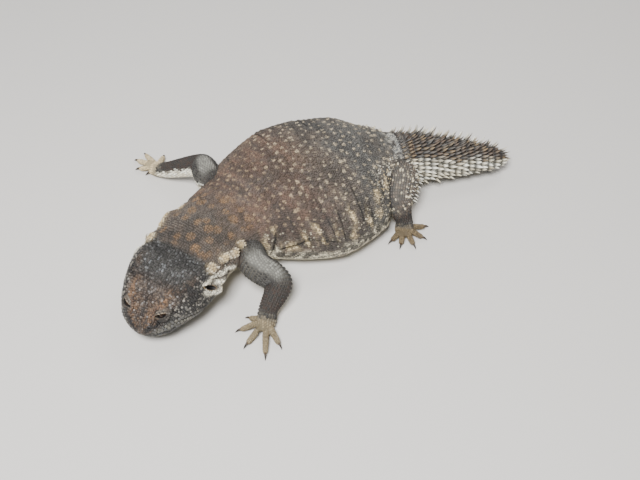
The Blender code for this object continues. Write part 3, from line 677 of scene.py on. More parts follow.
def trunk_colour(s, angle, luck):
    """The marking at a place and angle of the trunk. luck is a draw from 0 to 1 for each scale."""
    half_width, above = section(s)[:2]
    x, y = s / MM, (angle - np.pi / 2) * (half_width + above) / 2 / MM
    left = left_degrees(angle)
    side = np.abs(left - 90)
    broad, fine = noise(x, y, 11, 1), noise(x, y, 2.4, 4)
    colour = mix(BROWN, SLATE, 0.1 + 0.5 * broad + 0.6 * ease((x + 14) / 40) - 0.4 * (fine - 0.5))
    shoulders = between(x, -66, -10, 24) * between(side, -1, 62, 24)
    colour = mix(colour, RUST, 0.55 * shoulders * (0.3 + 0.7 * fine))
    colour = mix(colour, SOOT, 0.5 * ease(1.6 * noise(x, 0.35 * y, 4.4, 9) - 0.4) * between(x, -100, 52, 10))
    colour = mix(colour, SOOT, 0.4 * ease(2 * luck - 1.0))
    dot = back_dots(x, y, side)
    colour = mix(colour, mix(OCHRE, CREAM, 0.15 + 0.35 * ease((x + 45) / 50)), 0.9 * dot)
    nape = between(x, -92, -58, 6) * between(side, -1, 44, 12)
    colour = mix(colour, SOOT, 0.35 * nape * ease(2 * noise(x, y, 2.2, 37) - 0.5))
    blotch = spots(x, y, 6.2, 2.1, 0.9, 31) * nape * (0.4 + 0.6 * noise(x, y, 6.2, 33))
    colour = mix(colour, mix(OCHRE, ORANGE, 0.5 * luck), 0.9 * blotch * (0.3 + 0.7 * ease(1.6 * luck)))
    flank = between(side, 48, 92, 16) * between(x, -58, 46, 12)
    streak = noise(x + 2.5 * noise(x, y, 6, 18), 0.3 * y, 3.0, 12)
    colour = mix(colour, SOOT, 0.5 * flank * ease(2.2 * streak - 0.7))
    far = np.cos(angle) > 0
    pale = patches(s, angle, FLANK_BLOTCHES) * ease(2.2 * noise(x, 0.7 * y, 1.9, 13) - 0.5)
    pale = pale * (0.4 + 1.3 * noise(x, y, 4.5, 17)) * np.where(far, 0.8 * ease((side - 60) / 8), 1)
    speckle = ease(5 * luck - 4.1) * flank * between(side, 56, 92, 10) * ease(2 * noise(x, y, 3.2, 19) - 0.4)
    colour = mix(colour, CREAM, 0.6 * speckle)
    colour = mix(colour, mix(YELLOW, CREAM, 0.5 * luck), pale * (0.25 + 0.75 * ease(2.4 * luck - 0.3)))
    hem_start = 74 + 12 * noise(x, 0 * y, 5, 14) + 22 * far
    hem = ease((side - hem_start) / 10) * between(x, -64, 54, 8)
    gaps = ease(3 * noise(x, y, 2.6, 15) - 1.1 + 0.6 * (luck - 0.5))
    hem_colour = mix(mix(CREAM, SLATE, 0.7 * ease(3.0 * luck - 1.3)), 0.9 * SOOT, 0.85 * gaps)
    colour = mix(colour, hem_colour, 0.9 * hem)
    belly = ease((side - 98) / 10)
    colour = mix(colour, mix(CREAM, SLATE, 0.15 + 0.3 * broad + 0.25 * ease(3 * luck - 2)), belly)
    hip = between(x, 26, 56, 7) * between(side, 26, 78, 14) * (1 - 0.8 * far)
    colour = mix(colour, mix(YELLOW, CHALK, fine), 0.75 * hip * ease(4 * luck - 2.5))
    rump = bell(x - 48.5, 4.5) * between(side, -1, 34, 14) * ease(2.4 * noise(x, y, 2.0, 35) - 0.5)
    colour = mix(colour, mix(ASH, CREAM, 0.5 * luck), 0.8 * rump * (0.45 + 0.55 * ease(2.4 * luck - 0.5)))
    colour = head_colour(tail_colour(colour, s, angle, luck), s, angle, luck)
    # painted shade: the colour darkens by up to three quarters in the hide's creases
    return colour * (1 - 0.75 * crease_shade(s, angle))[..., None]


def tail_colour(colour, s, angle, luck):
    """The tail's own marking laid over the trunk's: brown above, cream at the sides and below."""
    x, side = s / MM, np.abs(left_degrees(angle) - 90)
    top = mix(mix(BROWN, ORANGE, 0.3 * ease(3 * luck - 1.8)), SOOT, 0.65 * ease(2.4 * luck - 0.6))
    pale = mix(1.1 * CHALK, YELLOW, 0.35 * ease(2 * luck - 0.9) + 0.35 * bell(x - 56, 5))
    edge = 36 + 26 * (luck - 0.5)
    return mix(colour, mix(top, pale, ease((side - edge) / 16)), ease((x - 53) / 5))


def head_colour(colour, s, angle, luck):
    """The head's own marking laid over the trunk's: soot with ash specks, orange scales on the snout and
    brows, a black patch from nostril to eye, and cream lips, jaw and ear folds."""
    x, left = s / MM, left_degrees(angle)
    side = np.abs(left - 90)
    y = np.radians(left - 90) * 18
    cloud = noise(x, y, 4.5, 61)
    top = mix(0.6 * SOOT, 0.8 * SLATE, 0.05 + 0.6 * luck + 0.6 * (cloud - 0.4))
    top = mix(top, 0.85 * ASH, 0.45 * ease(6 * luck - 4.7) * (0.1 + 0.9 * cloud))
    rosy = ease((-107 - x) / 12) * between(side, -1, 50, 18)
    top = mix(top, mix(0.8 * RUST, TAN, 0.25 * luck), 0.4 * rosy * (0.2 + 0.8 * luck))
    warm = 0.7 * bell(x + 130, 7) * between(side, 6, 36, 14) + bell(x + 120, 6) * bell(side - 25, 8)
    warm = warm + 0.3 * bell(x + 107, 6) * bell(side - 42, 12)
    warm = 0.6 * warm * ease(3 * noise(x, y, 1.7, 63) - 1.0) * ease(1.8 * luck)
    top = mix(top, 0.85 * mix(ORANGE, OCHRE, 0.4), warm)
    top = mix(top, ASH, 0.3 * rosy * ease(9 * luck - 8.1))
    cheek = between(x, -125, -98, 5) * between(side, 44, 100, 12)
    top = mix(top, mix(0.7 * SOOT, mix(0.85 * ASH, TAN, 0.4), ease(3.0 * luck - 1.9)), 0.55 * cheek)
    black = bell(x + 133.5, 2.6) * bell(side - 31, 7) + bell(x + 129.5, 3.2) * bell(side - 42, 6)
    top = mix(top, 0.3 * SOOT, 1.4 * black)
    off, shut = mouth_offset(s, angle)
    lip = between(off, -1.9 * MM, 2.6 * MM, 0.6 * MM) * shut
    pale = mix(CREAM, SLATE, 0.45 + 0.55 * ease(3 * luck - 1.1))
    lip_colour = mix(0.7 * SLATE, pale, 0.2 + 0.5 * between(off, -1.0 * MM, 0.3 * MM, 0.4 * MM))
    top = mix(top, lip_colour, lip * (0.3 + 0.5 * ease((x + 137) / 9)))
    top = mix(top, mix(pale, 0.7 * SLATE, 0.5 * ease((-112 - x) / 8)), ease((side - 105) / 8) * (1 - lip))
    colour = mix(colour, top, ease((-90.5 - x) / 4))
    fold = between(x, -106, -80, 3) * between(side, 62, 118, 8)
    ridge = np.clip(sum(crease(s, angle, *row[:4], 1.1 * row[5]) for row in RIDGES), 0, 1)
    skin_tone = mix(mix(0.8 * BROWN, SLATE, luck), CREAM, ease((side - 92) / 14))
    colour = mix(colour, skin_tone, 0.8 * fold * ease((x + 103) / 4))
    colour = mix(colour, mix(CHALK, CREAM, luck), ridge * ease(1.6 - 0.8 * luck))
    return mix(colour, mix(YELLOW, CREAM, 0.5 * luck), 1.3 * patches(s, angle, NECK_LOBES))


LEG_NET = tone(108, 104, 94)  # the pale hide between the dark scales of a leg


def painted_highlight(t, out):
    """1 where a highlight is painted on the top of an upper arm or thigh, from the normals there."""
    return between(t, 0.9, 2.0, 0.4) * ease((out[..., 2] - 0.72) / 0.2)


def limb_colour(name, t, out, luck):
    """The marking of a leg: slate above with a darker band below the elbow, cream beneath, tan toes."""
    colour = mix(0.6 * SLATE, 0.6 * SOOT, 0.3 + 0.6 * ease(2 * luck - 0.7))
    # painted highlight: chalk on the upward-facing scales of the upper arm and thigh
    colour = mix(colour, CHALK, 0.22 * painted_highlight(t, out) * ease(2 * luck + 0.4))
    colour = mix(colour, mix(0.45 * SOOT, 0.7 * RUST, 0.3 * luck), 0.75 * between(t, 2.1, 3.1, 0.3))
    if name.endswith("hind"):
        speckled = mix(mix(SLATE, BROWN, luck), SOOT, 0.5 * ease(2 - 5 * luck))
        speckled = mix(speckled, mix(YELLOW, CREAM, luck), 0.75 * ease(5 * luck - 3.6))
        colour = mix(colour, speckled, 0.85 * between(t, -1, 2.4, 0.5))
    pale_way = np.array([-0.45, -0.62, -0.45] if name == "right_fore" else [0, 0, -1.0])
    facing = out @ (pale_way / np.linalg.norm(pale_way))
    colour = mix(colour, mix(CHALK, CREAM, luck), ease((facing - 0.2 - 0.35 * luck) / 0.35))
    foot = 0.5 * mix(TAN, BROWN, 0.2 + 0.3 * luck)
    if name.endswith("fore"):
        foot = 0.48 * mix(TAN, CREAM, 0.1 + 0.2 * luck)
    if name == "right_fore":
        foot = mix(foot, mix(YELLOW, CREAM, 0.5), 0.65)
    return mix(colour, mix(foot, SLATE, 0.5 * ease((4.2 - t) / 0.5)), ease((t - 3.0 - 0.5 * luck) / 0.5))


# painted shade: the hide shows only in the gaps between the scales, so it is darkened
HIDE_GAP_SHADE = 0.42  # the hide's lightness, as a share of the scales' over it


def hide_colour(points, outwards, luck):
    """The marking at points of the hide, darkened as painted shade in the gaps between scales: the trunk's,
    or the nearest leg's where they lie outside the trunk, with a pale net over its slate part."""
    s, angle, far = trunk_place(points)
    colour = HIDE_GAP_SHADE * trunk_colour(s, angle, luck)
    legs = [limb_place(limb, points) for limb in LIMBS]
    nearest = np.argmin([leg[1] for leg in legs], 0)
    for k, limb in enumerate(LIMBS):
        t = legs[k][0]
        net = 0.45 * ease((3.6 - t) / 0.6) * (1 - 0.55 * between(t, 2.1, 3.1, 0.3))
        # no pale net under the painted highlight, so the hide's gaps there stay dark as painted shade
        net = net * (1 - painted_highlight(t, outwards))
        if limb.name.endswith("hind"):
            net = net * ease((t - 1.9) / 0.5)
        # painted shade: the leg's hide between its scales is darkened to 0.6 of their colour
        leg_colour = mix(0.6 * limb_colour(limb.name, t, outwards, luck), LEG_NET, net)
        colour = mix(colour, leg_colour, (nearest == k) * ease((far - 1.02) / 0.12))
    return colour


class Tap:
    """A socket in a material's nodes. Arithmetic on it adds Math nodes, and node() adds any other node."""

    def __init__(self, tree, socket=None):
        self.tree = tree
        self.socket = socket

    def node(self, kind, settings=None, values=None, output=0):
        """Adds a node: its settings first, then the values or links of its sockets, by name or number."""
        made = self.tree.nodes.new("ShaderNode" + kind)
        for key, value in (settings or {}).items():
            setattr(made, key, value)
        for key, value in (values or {}).items():
            if isinstance(value, Tap):
                self.tree.links.new(value.socket, made.inputs[key])
            else:
                made.inputs[key].default_value = value
        return Tap(self.tree, made.outputs[output])

    def math(self, operation, *values):
        """Adds a Math node with this operation."""
        return self.node("Math", {"operation": operation}, dict(enumerate(values)))

    def __add__(self, other):
        return self.math("ADD", self, other)

    __radd__ = __add__

    def __sub__(self, other):
        return self.math("SUBTRACT", self, other)

    def __rsub__(self, other):
        return self.math("SUBTRACT", other, self)

    def __mul__(self, other):
        return self.math("MULTIPLY", self, other)

    __rmul__ = __mul__


def tinted(name, rough, rough_swing, grain, bump, coat_weight=0.0):
    """A finish that takes its colour from the mesh's tint, with fine grains of this size (metres) that
    change its lightness and roughness a little and stand out as small bumps."""
    material = bpy.data.materials.new(name)
    material.use_nodes = True
    tree = material.node_tree
    shader = tree.nodes["Principled BSDF"]
    tap = Tap(tree)
    place = tap.node("TexCoord", output=3)
    fine = {"Vector": place, "Scale": 1 / grain, "Detail": 3.0, "Roughness": 0.6}
    speck = tap.node("TexNoise", values=fine)
    wide = tap.node("TexNoise", values={"Vector": place, "Scale": 0.16 / grain, "Detail": 2.0})
    tint = tap.node("Attribute", {"attribute_name": "tint"})
    light = 0.62 + speck * 0.5 + wide * 0.26
    grey = tap.node("CombineColor", values={0: light, 1: light, 2: light})
    multiply = {"data_type": "RGBA", "blend_type": "MULTIPLY"}
    colour = tap.node("Mix", multiply, {0: 1.0, 6: tint, 7: grey}, output=2)
    raised = tap.node("Bump", values={"Strength": bump, "Distance": 0.25 * grain, "Height": speck})
    tree.links.new(colour.socket, shader.inputs["Base Color"])
    tree.links.new((rough + rough_swing * speck).socket, shader.inputs["Roughness"])
    tree.links.new(raised.socket, shader.inputs["Normal"])
    shader.inputs["Coat Weight"].default_value = coat_weight
    return material


def paint(obj, colour):
    """Stores a colour for each of the mesh's points, which its material reads as tint."""
    attribute = obj.data.attributes.new("tint", "FLOAT_COLOR", "POINT")
    with_alpha = np.concatenate([colour, np.ones((len(colour), 1))], 1)
    attribute.data.foreach_set("color", with_alpha.astype(np.float32).ravel())


def dress(obj, colour, material):
    """Gives a piece its points' colours, its material and its slot, and lets it ride on the one body."""
    paint(obj, colour)
    obj.data.materials.append(material)
    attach(obj, "root")


hide_points, hide_outwards = mesh_points(skin), mesh_points(skin, "normal")
hide_tint = hide_colour(hide_points, hide_outwards, np.full(len(hide_points), 0.45))
hide_finish = tinted("hide", rough=0.62, rough_swing=0.25, grain=0.5 * MM, bump=0.5)
dress(skin, hide_tint, hide_finish)
skin.data.shade_smooth()
LEG_NODES = [limb.name + part for limb in LIMBS for part in ("_upper", "_lower", "_foot")]
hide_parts("head", "neck", "torso", "tail_root", "tail_middle", "tail_end", *LEG_NODES)


# Trunk scales. Small, smooth, slightly domed scales in staggered rings round the neck, back, flanks and
# belly, each a separate shield rooted in the hide with its rear edge raised over the next.
PATCH = 0.003  # each scale's patch on its piece's unwrap


def peak_triangles(sides, count):
    """Triangles that join this many rings of points, the widest first, and then the last one to a peak."""
    c = np.arange(sides)
    d = (c + 1) % sides
    triangles = []
    for ring in range(count - 1):
        a, b = ring * sides, (ring + 1) * sides
        triangles += [np.stack([a + c, a + d, b + d], 1), np.stack([a + c, b + d, b + c], 1)]
    last = (count - 1) * sides
    triangles.append(np.stack([last + c, last + d, np.full(sides, count * sides)], 1))
    return np.concatenate(triangles)


def shield(sides, point, levels=((1.0, -0.7), (0.8, 0.66)), keel=0.0):
    """A scale's points, from -1 to 1 along and across and up to 1 high, its triangles, and how near each
    point is to its edge. It is a polygon in rings that rise to a middle, drawn out at the rear by point."""
    turn = 2 * np.pi * (np.arange(sides) + 0.5) / sides
    x, y = np.cos(turn), np.sin(turn)
    x = np.where(x > 0, x * (1 + point), x)
    ridge = keel * (1 - np.abs(y))
    points = [np.stack([x * size, y * size, high + ridge], 1) for size, high in levels]
    points = np.concatenate(points + [[[0, 0, 1 + keel]]])
    edge = (np.arange(len(points)) < sides).astype(float)
    return points, peak_triangles(sides, len(levels)), edge


def coat(name, places, shape, triangles, tint, unwrap, material):
    """One mesh of many scales. places holds their roots and frames, shape each one's points in metres
    along, across and out, tint their points' colours, and unwrap their roots' places from 0 to 1."""
    root, ahead, across, out = (part[:, None] for part in places)
    points = root + shape[..., :1] * ahead + shape[..., 1:2] * across + shape[..., 2:] * out
    points[..., 2] = np.maximum(points[..., 2], 0)
    count, corners = shape.shape[:2]
    faces = (triangles + corners * np.arange(count)[:, None, None]).reshape(-1, 3)
    obj = mesh_object(name, points.reshape(-1, 3), faces)
    local = shape[..., :2] / np.abs(shape[..., :2]).max(axis=(1, 2), keepdims=True)
    flat = (0.01 + 0.98 * np.asarray(unwrap)[:, None] + PATCH / 2 * local).reshape(-1, 2)
    layer = obj.data.uv_layers.new(name="OFBake")
    layer.uv.foreach_set("vector", flat[faces.ravel()].astype(np.float32).ravel())
    dress(obj, tint.reshape(-1, 3), material)


def unwrapped(s, share):
    """The scales' places on their piece's unwrap, from 0 to 1 along the animal and round it."""
    return np.stack([(s - s.min()) / np.ptp(s), share], 1)


def scale_rings(surface, first, last, pitch, spacing):
    """Place, angle and share of the way round for scales in staggered rings, evenly spaced over a surface."""
    u = np.linspace(first, last, 600)
    length = np.linalg.norm(np.diff(rings(surface, u, np.radians(np.arange(0, 360, 30))), axis=0), axis=-1)
    run = np.concatenate([[0], np.cumsum(length.mean(1))])
    rows = np.interp(np.arange(pitch / 2, run[-1], pitch), run, u)
    fan = np.radians(np.linspace(-90, 270, 361))
    steps = np.linalg.norm(np.diff(rings(surface, rows, fan), axis=1), axis=-1)
    reach = np.concatenate([np.zeros((len(rows), 1)), np.cumsum(steps, 1)], 1)
    places, angles, shares = [], [], []
    for k, row in enumerate(rows):
        count = max(4, round(reach[k, -1] / spacing))
        share = (np.arange(count) + 0.5 * (k % 2)) / count
        places.append(np.full(count, row))
        angles.append(np.interp(share * reach[k, -1], reach[k], fan))
        shares.append(share)
    return np.concatenate(places), np.concatenate(angles), np.concatenate(shares)


def wander(s, angle, sway, stray, draw):
    """The scales' places with their rings bent by smooth noise of this height, and each strayed a little."""
    around = np.cos(angle) * TRUNK_RADIUS * MM
    bent = s + sway * (noise(s + 0.4 * around, around, 13 * MM, 95) - 0.5)
    turned = angle + 0.05 * (noise(s, around, 9 * MM, 96) - 0.5)
    strayed = bent + draw.normal(0, stray, len(s))
    return strayed, turned + draw.normal(0, stray, len(s)) / (TRUNK_RADIUS * MM)


def clear_of_legs(roots, least=0.96):
    """True for points that lie in no leg."""
    return np.all([limb_place(limb, roots)[1] > least for limb in LIMBS], 0)


def scale_sizes(along, across, high, count):
    """One size for each of this many scales: along, across and high, in metres."""
    return np.tile([along, across, high], (count, 1))


def scale_tints(colour, edge, edge_shade_factor, draw):
    """Each scale's points' colours: its own lightness drawn a little, and its edge lighter or darker."""
    own = colour * draw.uniform(0.74, 1.24, (len(colour), 1))
    # painted shade: below 1, this darkens each scale's rim where it meets the next
    return own[:, None] * (1 + (edge_shade_factor - 1) * edge)[None, :, None]


TRUNK_PITCH, TRUNK_SPACING, TRUNK_SCALE_HEIGHT = 1.02 * MM, 1.06 * MM, 0.34 * MM
scale_finish = tinted("scales", rough=0.42, rough_swing=0.3, grain=0.35 * MM, bump=0.35)
draw = np.random.default_rng(41)
s, angle, share = scale_rings(trunk_point, NAPE + 0.5 * MM, VENT - 4 * MM, TRUNK_PITCH, TRUNK_SPACING)
s, angle = wander(s, angle, 2.2 * MM, 0.12 * TRUNK_PITCH, draw)
places = frames(trunk_point, s, angle, 0.2 * MM, 0.008)
keep = clear_of_legs(places[0]) & (patches(s, angle, NECK_LOBES) < 0.6)
s, angle, share, places = s[keep], angle[keep], share[keep], [part[keep] for part in places]
luck = draw.random(len(s))
half_width, above = section(s)[:2]
y = (angle - np.pi / 2) * (half_width + above) / 2 / MM
raised = 1 + 0.9 * back_dots(s / MM, y, np.abs(left_degrees(angle) - 90))
outline, triangles, edge = shield(6, 0.18)
size = scale_sizes(0.6 * TRUNK_PITCH, 0.53 * TRUNK_SPACING, TRUNK_SCALE_HEIGHT, len(s))
size[:, 2] *= raised
size *= draw.uniform(0.84, 1.1, (len(s), 1))
shape = outline * size[:, None]
shape[..., 2] += 0.13 * shape[..., 0]
tint = scale_tints(trunk_colour(s, angle, luck), edge, 0.45, draw)
unwrap = unwrapped(s, share % 1)
TRUNK_PIECES = (("back", 48, 132), ("left_flank", 132, 196), ("right_flank", -16, 48), ("belly", 196, 344))
for name, low, high in TRUNK_PIECES:
    part = ((np.degrees(angle) % 360 - low) % 360) < (high - low)
    coat(
        name + "_scales", [place[part] for place in places], shape[part], triangles, tint[part], unwrap[part],
        scale_finish,
    )


# Head scales. Larger many-sided shields on the crown, snout and cheeks, uneven in size, which leave out the
# orbits, nostrils, ears and the mouth, and a row of tile-like scales along each lip.
HEAD_PITCH, HEAD_SPACING, HEAD_SCALE_HEIGHT = 1.08 * MM, 1.14 * MM, 0.44 * MM
NOSTRIL_PLACE, NOSTRIL_ANGLE, NOSTRIL_REACH = -133 * MM, 120, 1.25 * MM
draw = np.random.default_rng(43)
s, angle, share = scale_rings(trunk_point, SNOUT + 0.25 * MM, NAPE + 0.4 * MM, HEAD_PITCH, HEAD_SPACING)
s, angle = wander(s, angle, 1.6 * MM, 0.15 * HEAD_PITCH, draw)
s = np.clip(s, SNOUT + 0.2 * MM, None)
places = frames(trunk_point, s, angle, 0.15 * MM, 0.01)
off, shut = mouth_offset(s, angle)
keep = ~((np.abs(off) < 1.9 * MM) & (shut > 0.3)) & (patches(s, angle, NECK_LOBES) < 0.6)
for side_name, sign in SIDES:
    _, eye_back, eye_up, _ = head_frame(EYE_PLACE, EYE_ANGLE, sign)
    from_eye = places[0] - EYE_MIDDLES[side_name]
    keep &= np.hypot(from_eye @ eye_back, from_eye @ eye_up) > ORBIT * 0.97
    nostril = head_frame(NOSTRIL_PLACE, NOSTRIL_ANGLE, sign)[0]
    keep &= np.linalg.norm(places[0] - nostril, axis=1) > NOSTRIL_REACH
    ear, ear_back, ear_up, _ = ear_frame(sign)
    from_ear = places[0] - ear
    keep &= np.hypot(from_ear @ ear_back / EAR_HALF_LENGTH, from_ear @ ear_up / EAR_HALF_HEIGHT) > 1.2
s, angle, share, places = s[keep], angle[keep], share[keep], [part[keep] for part in places]
luck = draw.random(len(s))
outline, triangles, edge = shield(6, 0.05, ((1.0, -0.8), (0.84, 0.5), (0.5, 0.92)))
size = scale_sizes(0.6 * HEAD_PITCH, 0.55 * HEAD_SPACING, HEAD_SCALE_HEIGHT, len(s))
size *= draw.uniform(0.78, 1.16, (len(s), 1)) * draw.uniform(0.88, 1.12, (len(s), 3))
size *= (0.72 + 0.28 * closing(s))[:, None] * (1 + 0.22 * bell(s + 120 * MM, 12 * MM))[:, None]
shape = outline * size[:, None]
shape[..., 2] += 0.06 * shape[..., 0]
tint = scale_tints(trunk_colour(s, angle, luck), edge, 0.3, draw)
head_finish = tinted("head_scales", rough=0.3, rough_swing=0.3, grain=0.4 * MM, bump=0.35)
coat("head_scales", places, shape, triangles, tint, unwrapped(s, share % 1), head_finish)

LIP_STEP, LIP_OFFSET = 1.75 * MM, 1.15 * MM
line_s = np.linspace(SNOUT + 0.4 * MM, MOUTH_END, 400)
line_points = trunk_point(line_s, np.radians(along(line_s, MOUTH)))
run = np.concatenate([[0], np.cumsum(np.linalg.norm(np.diff(line_points, axis=0), axis=1))])
s = np.interp(np.arange(LIP_STEP / 2, run[-1], LIP_STEP), run, line_s)
rows = []
for _, sign in SIDES:
    for lip in (-1, 1):
        turn = np.degrees(lip * LIP_OFFSET / (HEAD_RADIUS * MM)) / np.maximum(closing(s), 0.35)
        rows.append(np.stack([s, on_side(along(s, MOUTH) + turn, sign)], 1))
s, angle = np.concatenate(rows).T
places = frames(trunk_point, s, angle, 0.15 * MM, 0.01)
outline, triangles, edge = shield(8, 0.0, ((1.0, -0.9), (0.86, 0.5), (0.5, 0.9)))
outline[:, :2] = np.sign(outline[:, :2]) * np.abs(outline[:, :2]) ** 0.75
size = scale_sizes(0.52 * LIP_STEP, 0.95 * MM, 0.5 * MM, len(s)) * (0.6 + 0.4 * closing(s))[:, None]
luck = draw.random(len(s))
tint = scale_tints(trunk_colour(s, angle, luck), edge, 0.4, draw)
unwrap = unwrapped(s, (np.arange(len(s)) // (len(s) // 4) + 0.5) / 4)
coat("lip_scales", places, outline * size[:, None], triangles, tint, unwrap, head_finish)


# Eyes. Dark, glossy eyeballs half covered by thick lids of fine grains with pale rims. Each lid pair is a
# ring of skin from the almond opening to the orbit's edge, and the ball sits deep behind it.
EYE_OPEN_LENGTH, EYE_OPEN_HEIGHT, EYE_SLANT = 3.5 * MM, 1.05 * MM, np.radians(34)
OPENING_AHEAD, OPENING_UP, ORBIT_AHEAD, ORBIT_UP = 1.0 * MM, 1.5 * MM, 0.4 * MM, 0.7 * MM
LID_DOME, LID_EDGE, LID_GRAIN = 4.2 * MM, 2.2 * MM, 0.72 * MM
eye_finish = tinted("eye", rough=0.06, rough_swing=0.05, grain=0.3 * MM, bump=0.0, coat_weight=1.0)
lid_finish = tinted("lids", rough=0.45, rough_swing=0.3, grain=0.25 * MM, bump=0.4)
lid_draw = np.random.default_rng(47)
LID_RIM = tone(206, 184, 152)
EYE_SIDES, LID_SIDES, LID_ROWS = 48, 72, 26


def lid_point(centre, axes, u, v):
    """The lids' surface: u goes round the opening from its rear end and v from its rim, 0, to the orbit's
    edge, 1. Each ring is a slanted almond at the rim and a circle at the edge, on a dome with folds round
    it that sinks into the orbit. Below 0 the rim rolls inwards to the eyeball."""
    cos, sin = np.cos(u), np.sin(u)
    reach, lift = EYE_OPEN_LENGTH * cos, EYE_OPEN_HEIGHT * (1 + 0.45 * cos) * sin * np.abs(sin) ** 0.3
    turn, tip = np.cos(EYE_SLANT), np.sin(EYE_SLANT)
    almond = np.stack([turn * reach + tip * lift - OPENING_AHEAD, turn * lift - tip * reach + OPENING_UP], -1)
    circle = 1.14 * ORBIT * np.stack([cos, sin], -1) + [-ORBIT_AHEAD, ORBIT_UP]
    out = np.maximum(v, 0)[..., None]
    flat = almond * (1 + 0.6 * np.minimum(v, 0)[..., None]) * (1 - out) + circle * out
    far = np.linalg.norm(flat, axis=-1)
    sunk = ease((far - 2.2 * MM) / (2.6 * MM))
    dome = np.sqrt(np.maximum(LID_DOME ** 2 - far ** 2, 0)) * (1 - sunk) + LID_EDGE * sunk
    fold = 0.24 * MM * np.sin(2 * np.pi * 2.2 * v) * out[..., 0] * (1 - out[..., 0]) * 4
    rim = 0.24 * MM * bell(v - 0.05, 0.07)
    inwards = 1.3 * MM * ease(-v / 0.2)
    height = dome + fold + rim - inwards
    return centre + flat[..., :1] * axes[0] + flat[..., 1:] * axes[1] + height[..., None] * axes[2]


for side_name, sign in SIDES:
    low, high = (np.array(corner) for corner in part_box(side_name + "_eye"))
    centre, radius = (low + high) / 2, (high - low).max() / 2
    _, back, up, outwards = head_frame(EYE_PLACE, EYE_ANGLE, sign)
    axes = np.stack([back, up, outwards])
    tilt, turn = np.linspace(0.02, np.pi - 0.02, 40), round_angles(EYE_SIDES)
    bulge = radius * (1 + 0.05 * bell(tilt, 0.5))
    circle = np.cos(turn)[:, None] * back + np.sin(turn)[:, None] * up
    forth, aside = (bulge * np.cos(tilt))[:, None, None], (bulge * np.sin(tilt))[:, None, None]
    ball = centre + forth * outwards + aside * circle
    eye = mesh_object(side_name + "_eyeball", *tube_mesh([ball[:, ::-sign]]))
    tilts = np.repeat(tilt, EYE_SIDES)
    dark = ease((0.2 - tilts) / 0.06 + 0.5) + ease((tilts - 0.62) / 0.08)
    iris = mix(tone(44, 28, 17), tone(8, 6, 5), dark)
    dress(eye, np.concatenate([iris, iris[:2]]), eye_finish)
    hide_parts(side_name + "_eye")

    around, v = round_angles(LID_SIDES), np.linspace(-0.2, 1, LID_ROWS)
    grid = lid_point(centre, axes, around + 0 * v[:, None], v[:, None] + 0 * around)
    faces = quads(LID_ROWS, LID_SIDES)
    lids = mesh_object(side_name + "_lids", grid.reshape(-1, 3), faces[:, ::-1] if sign > 0 else faces)
    levels = np.repeat(v, LID_SIDES)
    rim = bell(levels - 0.045, 0.06) * np.tile(0.55 + 0.45 * np.sin(around), LID_ROWS)
    # painted shade: where the rim rolls inwards to the eyeball it turns near black
    lid_tint = mix(mix(mix(0.6 * SOOT, SLATE, 0.25), LID_RIM, rim), 0.3 * SOOT, ease(-levels / 0.06))
    dress(lids, lid_tint, lid_finish)

    us, vs = [], []
    for k, level in enumerate(np.arange(0.11, 1.0, 0.09)):
        ring = lid_point(centre, axes, np.append(around, 0), np.full(LID_SIDES + 1, level))
        reach = np.concatenate([[0], np.cumsum(np.linalg.norm(np.diff(ring, axis=0), axis=1))])
        count = round(reach[-1] / (LID_GRAIN * (1.15 + 0.5 * level)))
        share = (np.arange(count) + 0.5 * (k % 2)) / count
        us.append(np.interp(share * reach[-1], reach, np.append(around, 2 * np.pi)))
        vs.append(np.full(count, level))
    us, vs = np.concatenate(us), np.concatenate(vs)
    roots, ahead, across, out = frames(partial(lid_point, centre, axes), us, vs, 0.02, 0.01)
    facing = np.sign((out * (roots - centre)).sum(1))[:, None]
    places = roots, ahead, across * facing, out * facing
    outline, triangles, edge = shield(6, 0.0)
    grain = 0.56 * LID_GRAIN * (1 + 0.5 * vs) * lid_draw.uniform(0.8, 1.2, len(us))
    size = grain[:, None] * [1.0, 1.0, 0.75]
    luck = lid_draw.random(len(us))
    upper = between(np.degrees(us) % 360, 20, 190, 40)
    s, angle, _ = trunk_place(roots)
    colour = mix(trunk_colour(s, angle, luck), mix(SOOT, SLATE, 0.3 + 0.7 * luck), 0.4)
    colour = mix(colour, mix(RUST, ORANGE, luck), 0.5 * upper * bell(vs - 0.75, 0.3) * (0.3 + 0.7 * luck))
    colour = mix(colour, mix(ASH, TAN, 0.5), 0.4 * upper * bell(vs - 0.3, 0.16) * ease(1.5 * luck))
    tint = scale_tints(colour, edge, 0.55, lid_draw)
    unwrap = np.stack([0.5 + 0.5 * vs * np.cos(us), 0.5 + 0.5 * vs * np.sin(us)], 1)
    shape = outline * size[:, None]
    coat(side_name + "_lid_scales", places, shape, triangles, tint, unwrap, lid_finish)


# Nostrils and ears. Each nostril is a raised ring with a dark cup, and each ear a tall sunk bowl with a
# rolled rim, both set into the hide. The cups darken towards black inside as painted shade.
def cup(name, frame_at, half_length, half_height, profile, colours):
    """A bowl turned round its own axis: profile gives its radius as a share and its height, from the skirt
    in the hide over the rim and down to the bottom."""
    root, back, up, outwards = frame_at
    turn = round_angles(CUP_SIDES)[:, None]
    share, height = (part[:, None, None] for part in np.array(profile).T)
    flat = share * (np.cos(turn) * half_length * back + np.sin(turn) * half_height * up)
    grid = root + flat + height * MM * outwards
    obj = mesh_object(name, grid.reshape(-1, 3), quads(len(profile), CUP_SIDES))
    if obj.data.polygons[0].normal.dot((grid[0, 0] - root).tolist()) < 0:
        obj.data.flip_normals()
    dress(obj, np.repeat(np.array(colours), CUP_SIDES, axis=0), lid_finish)


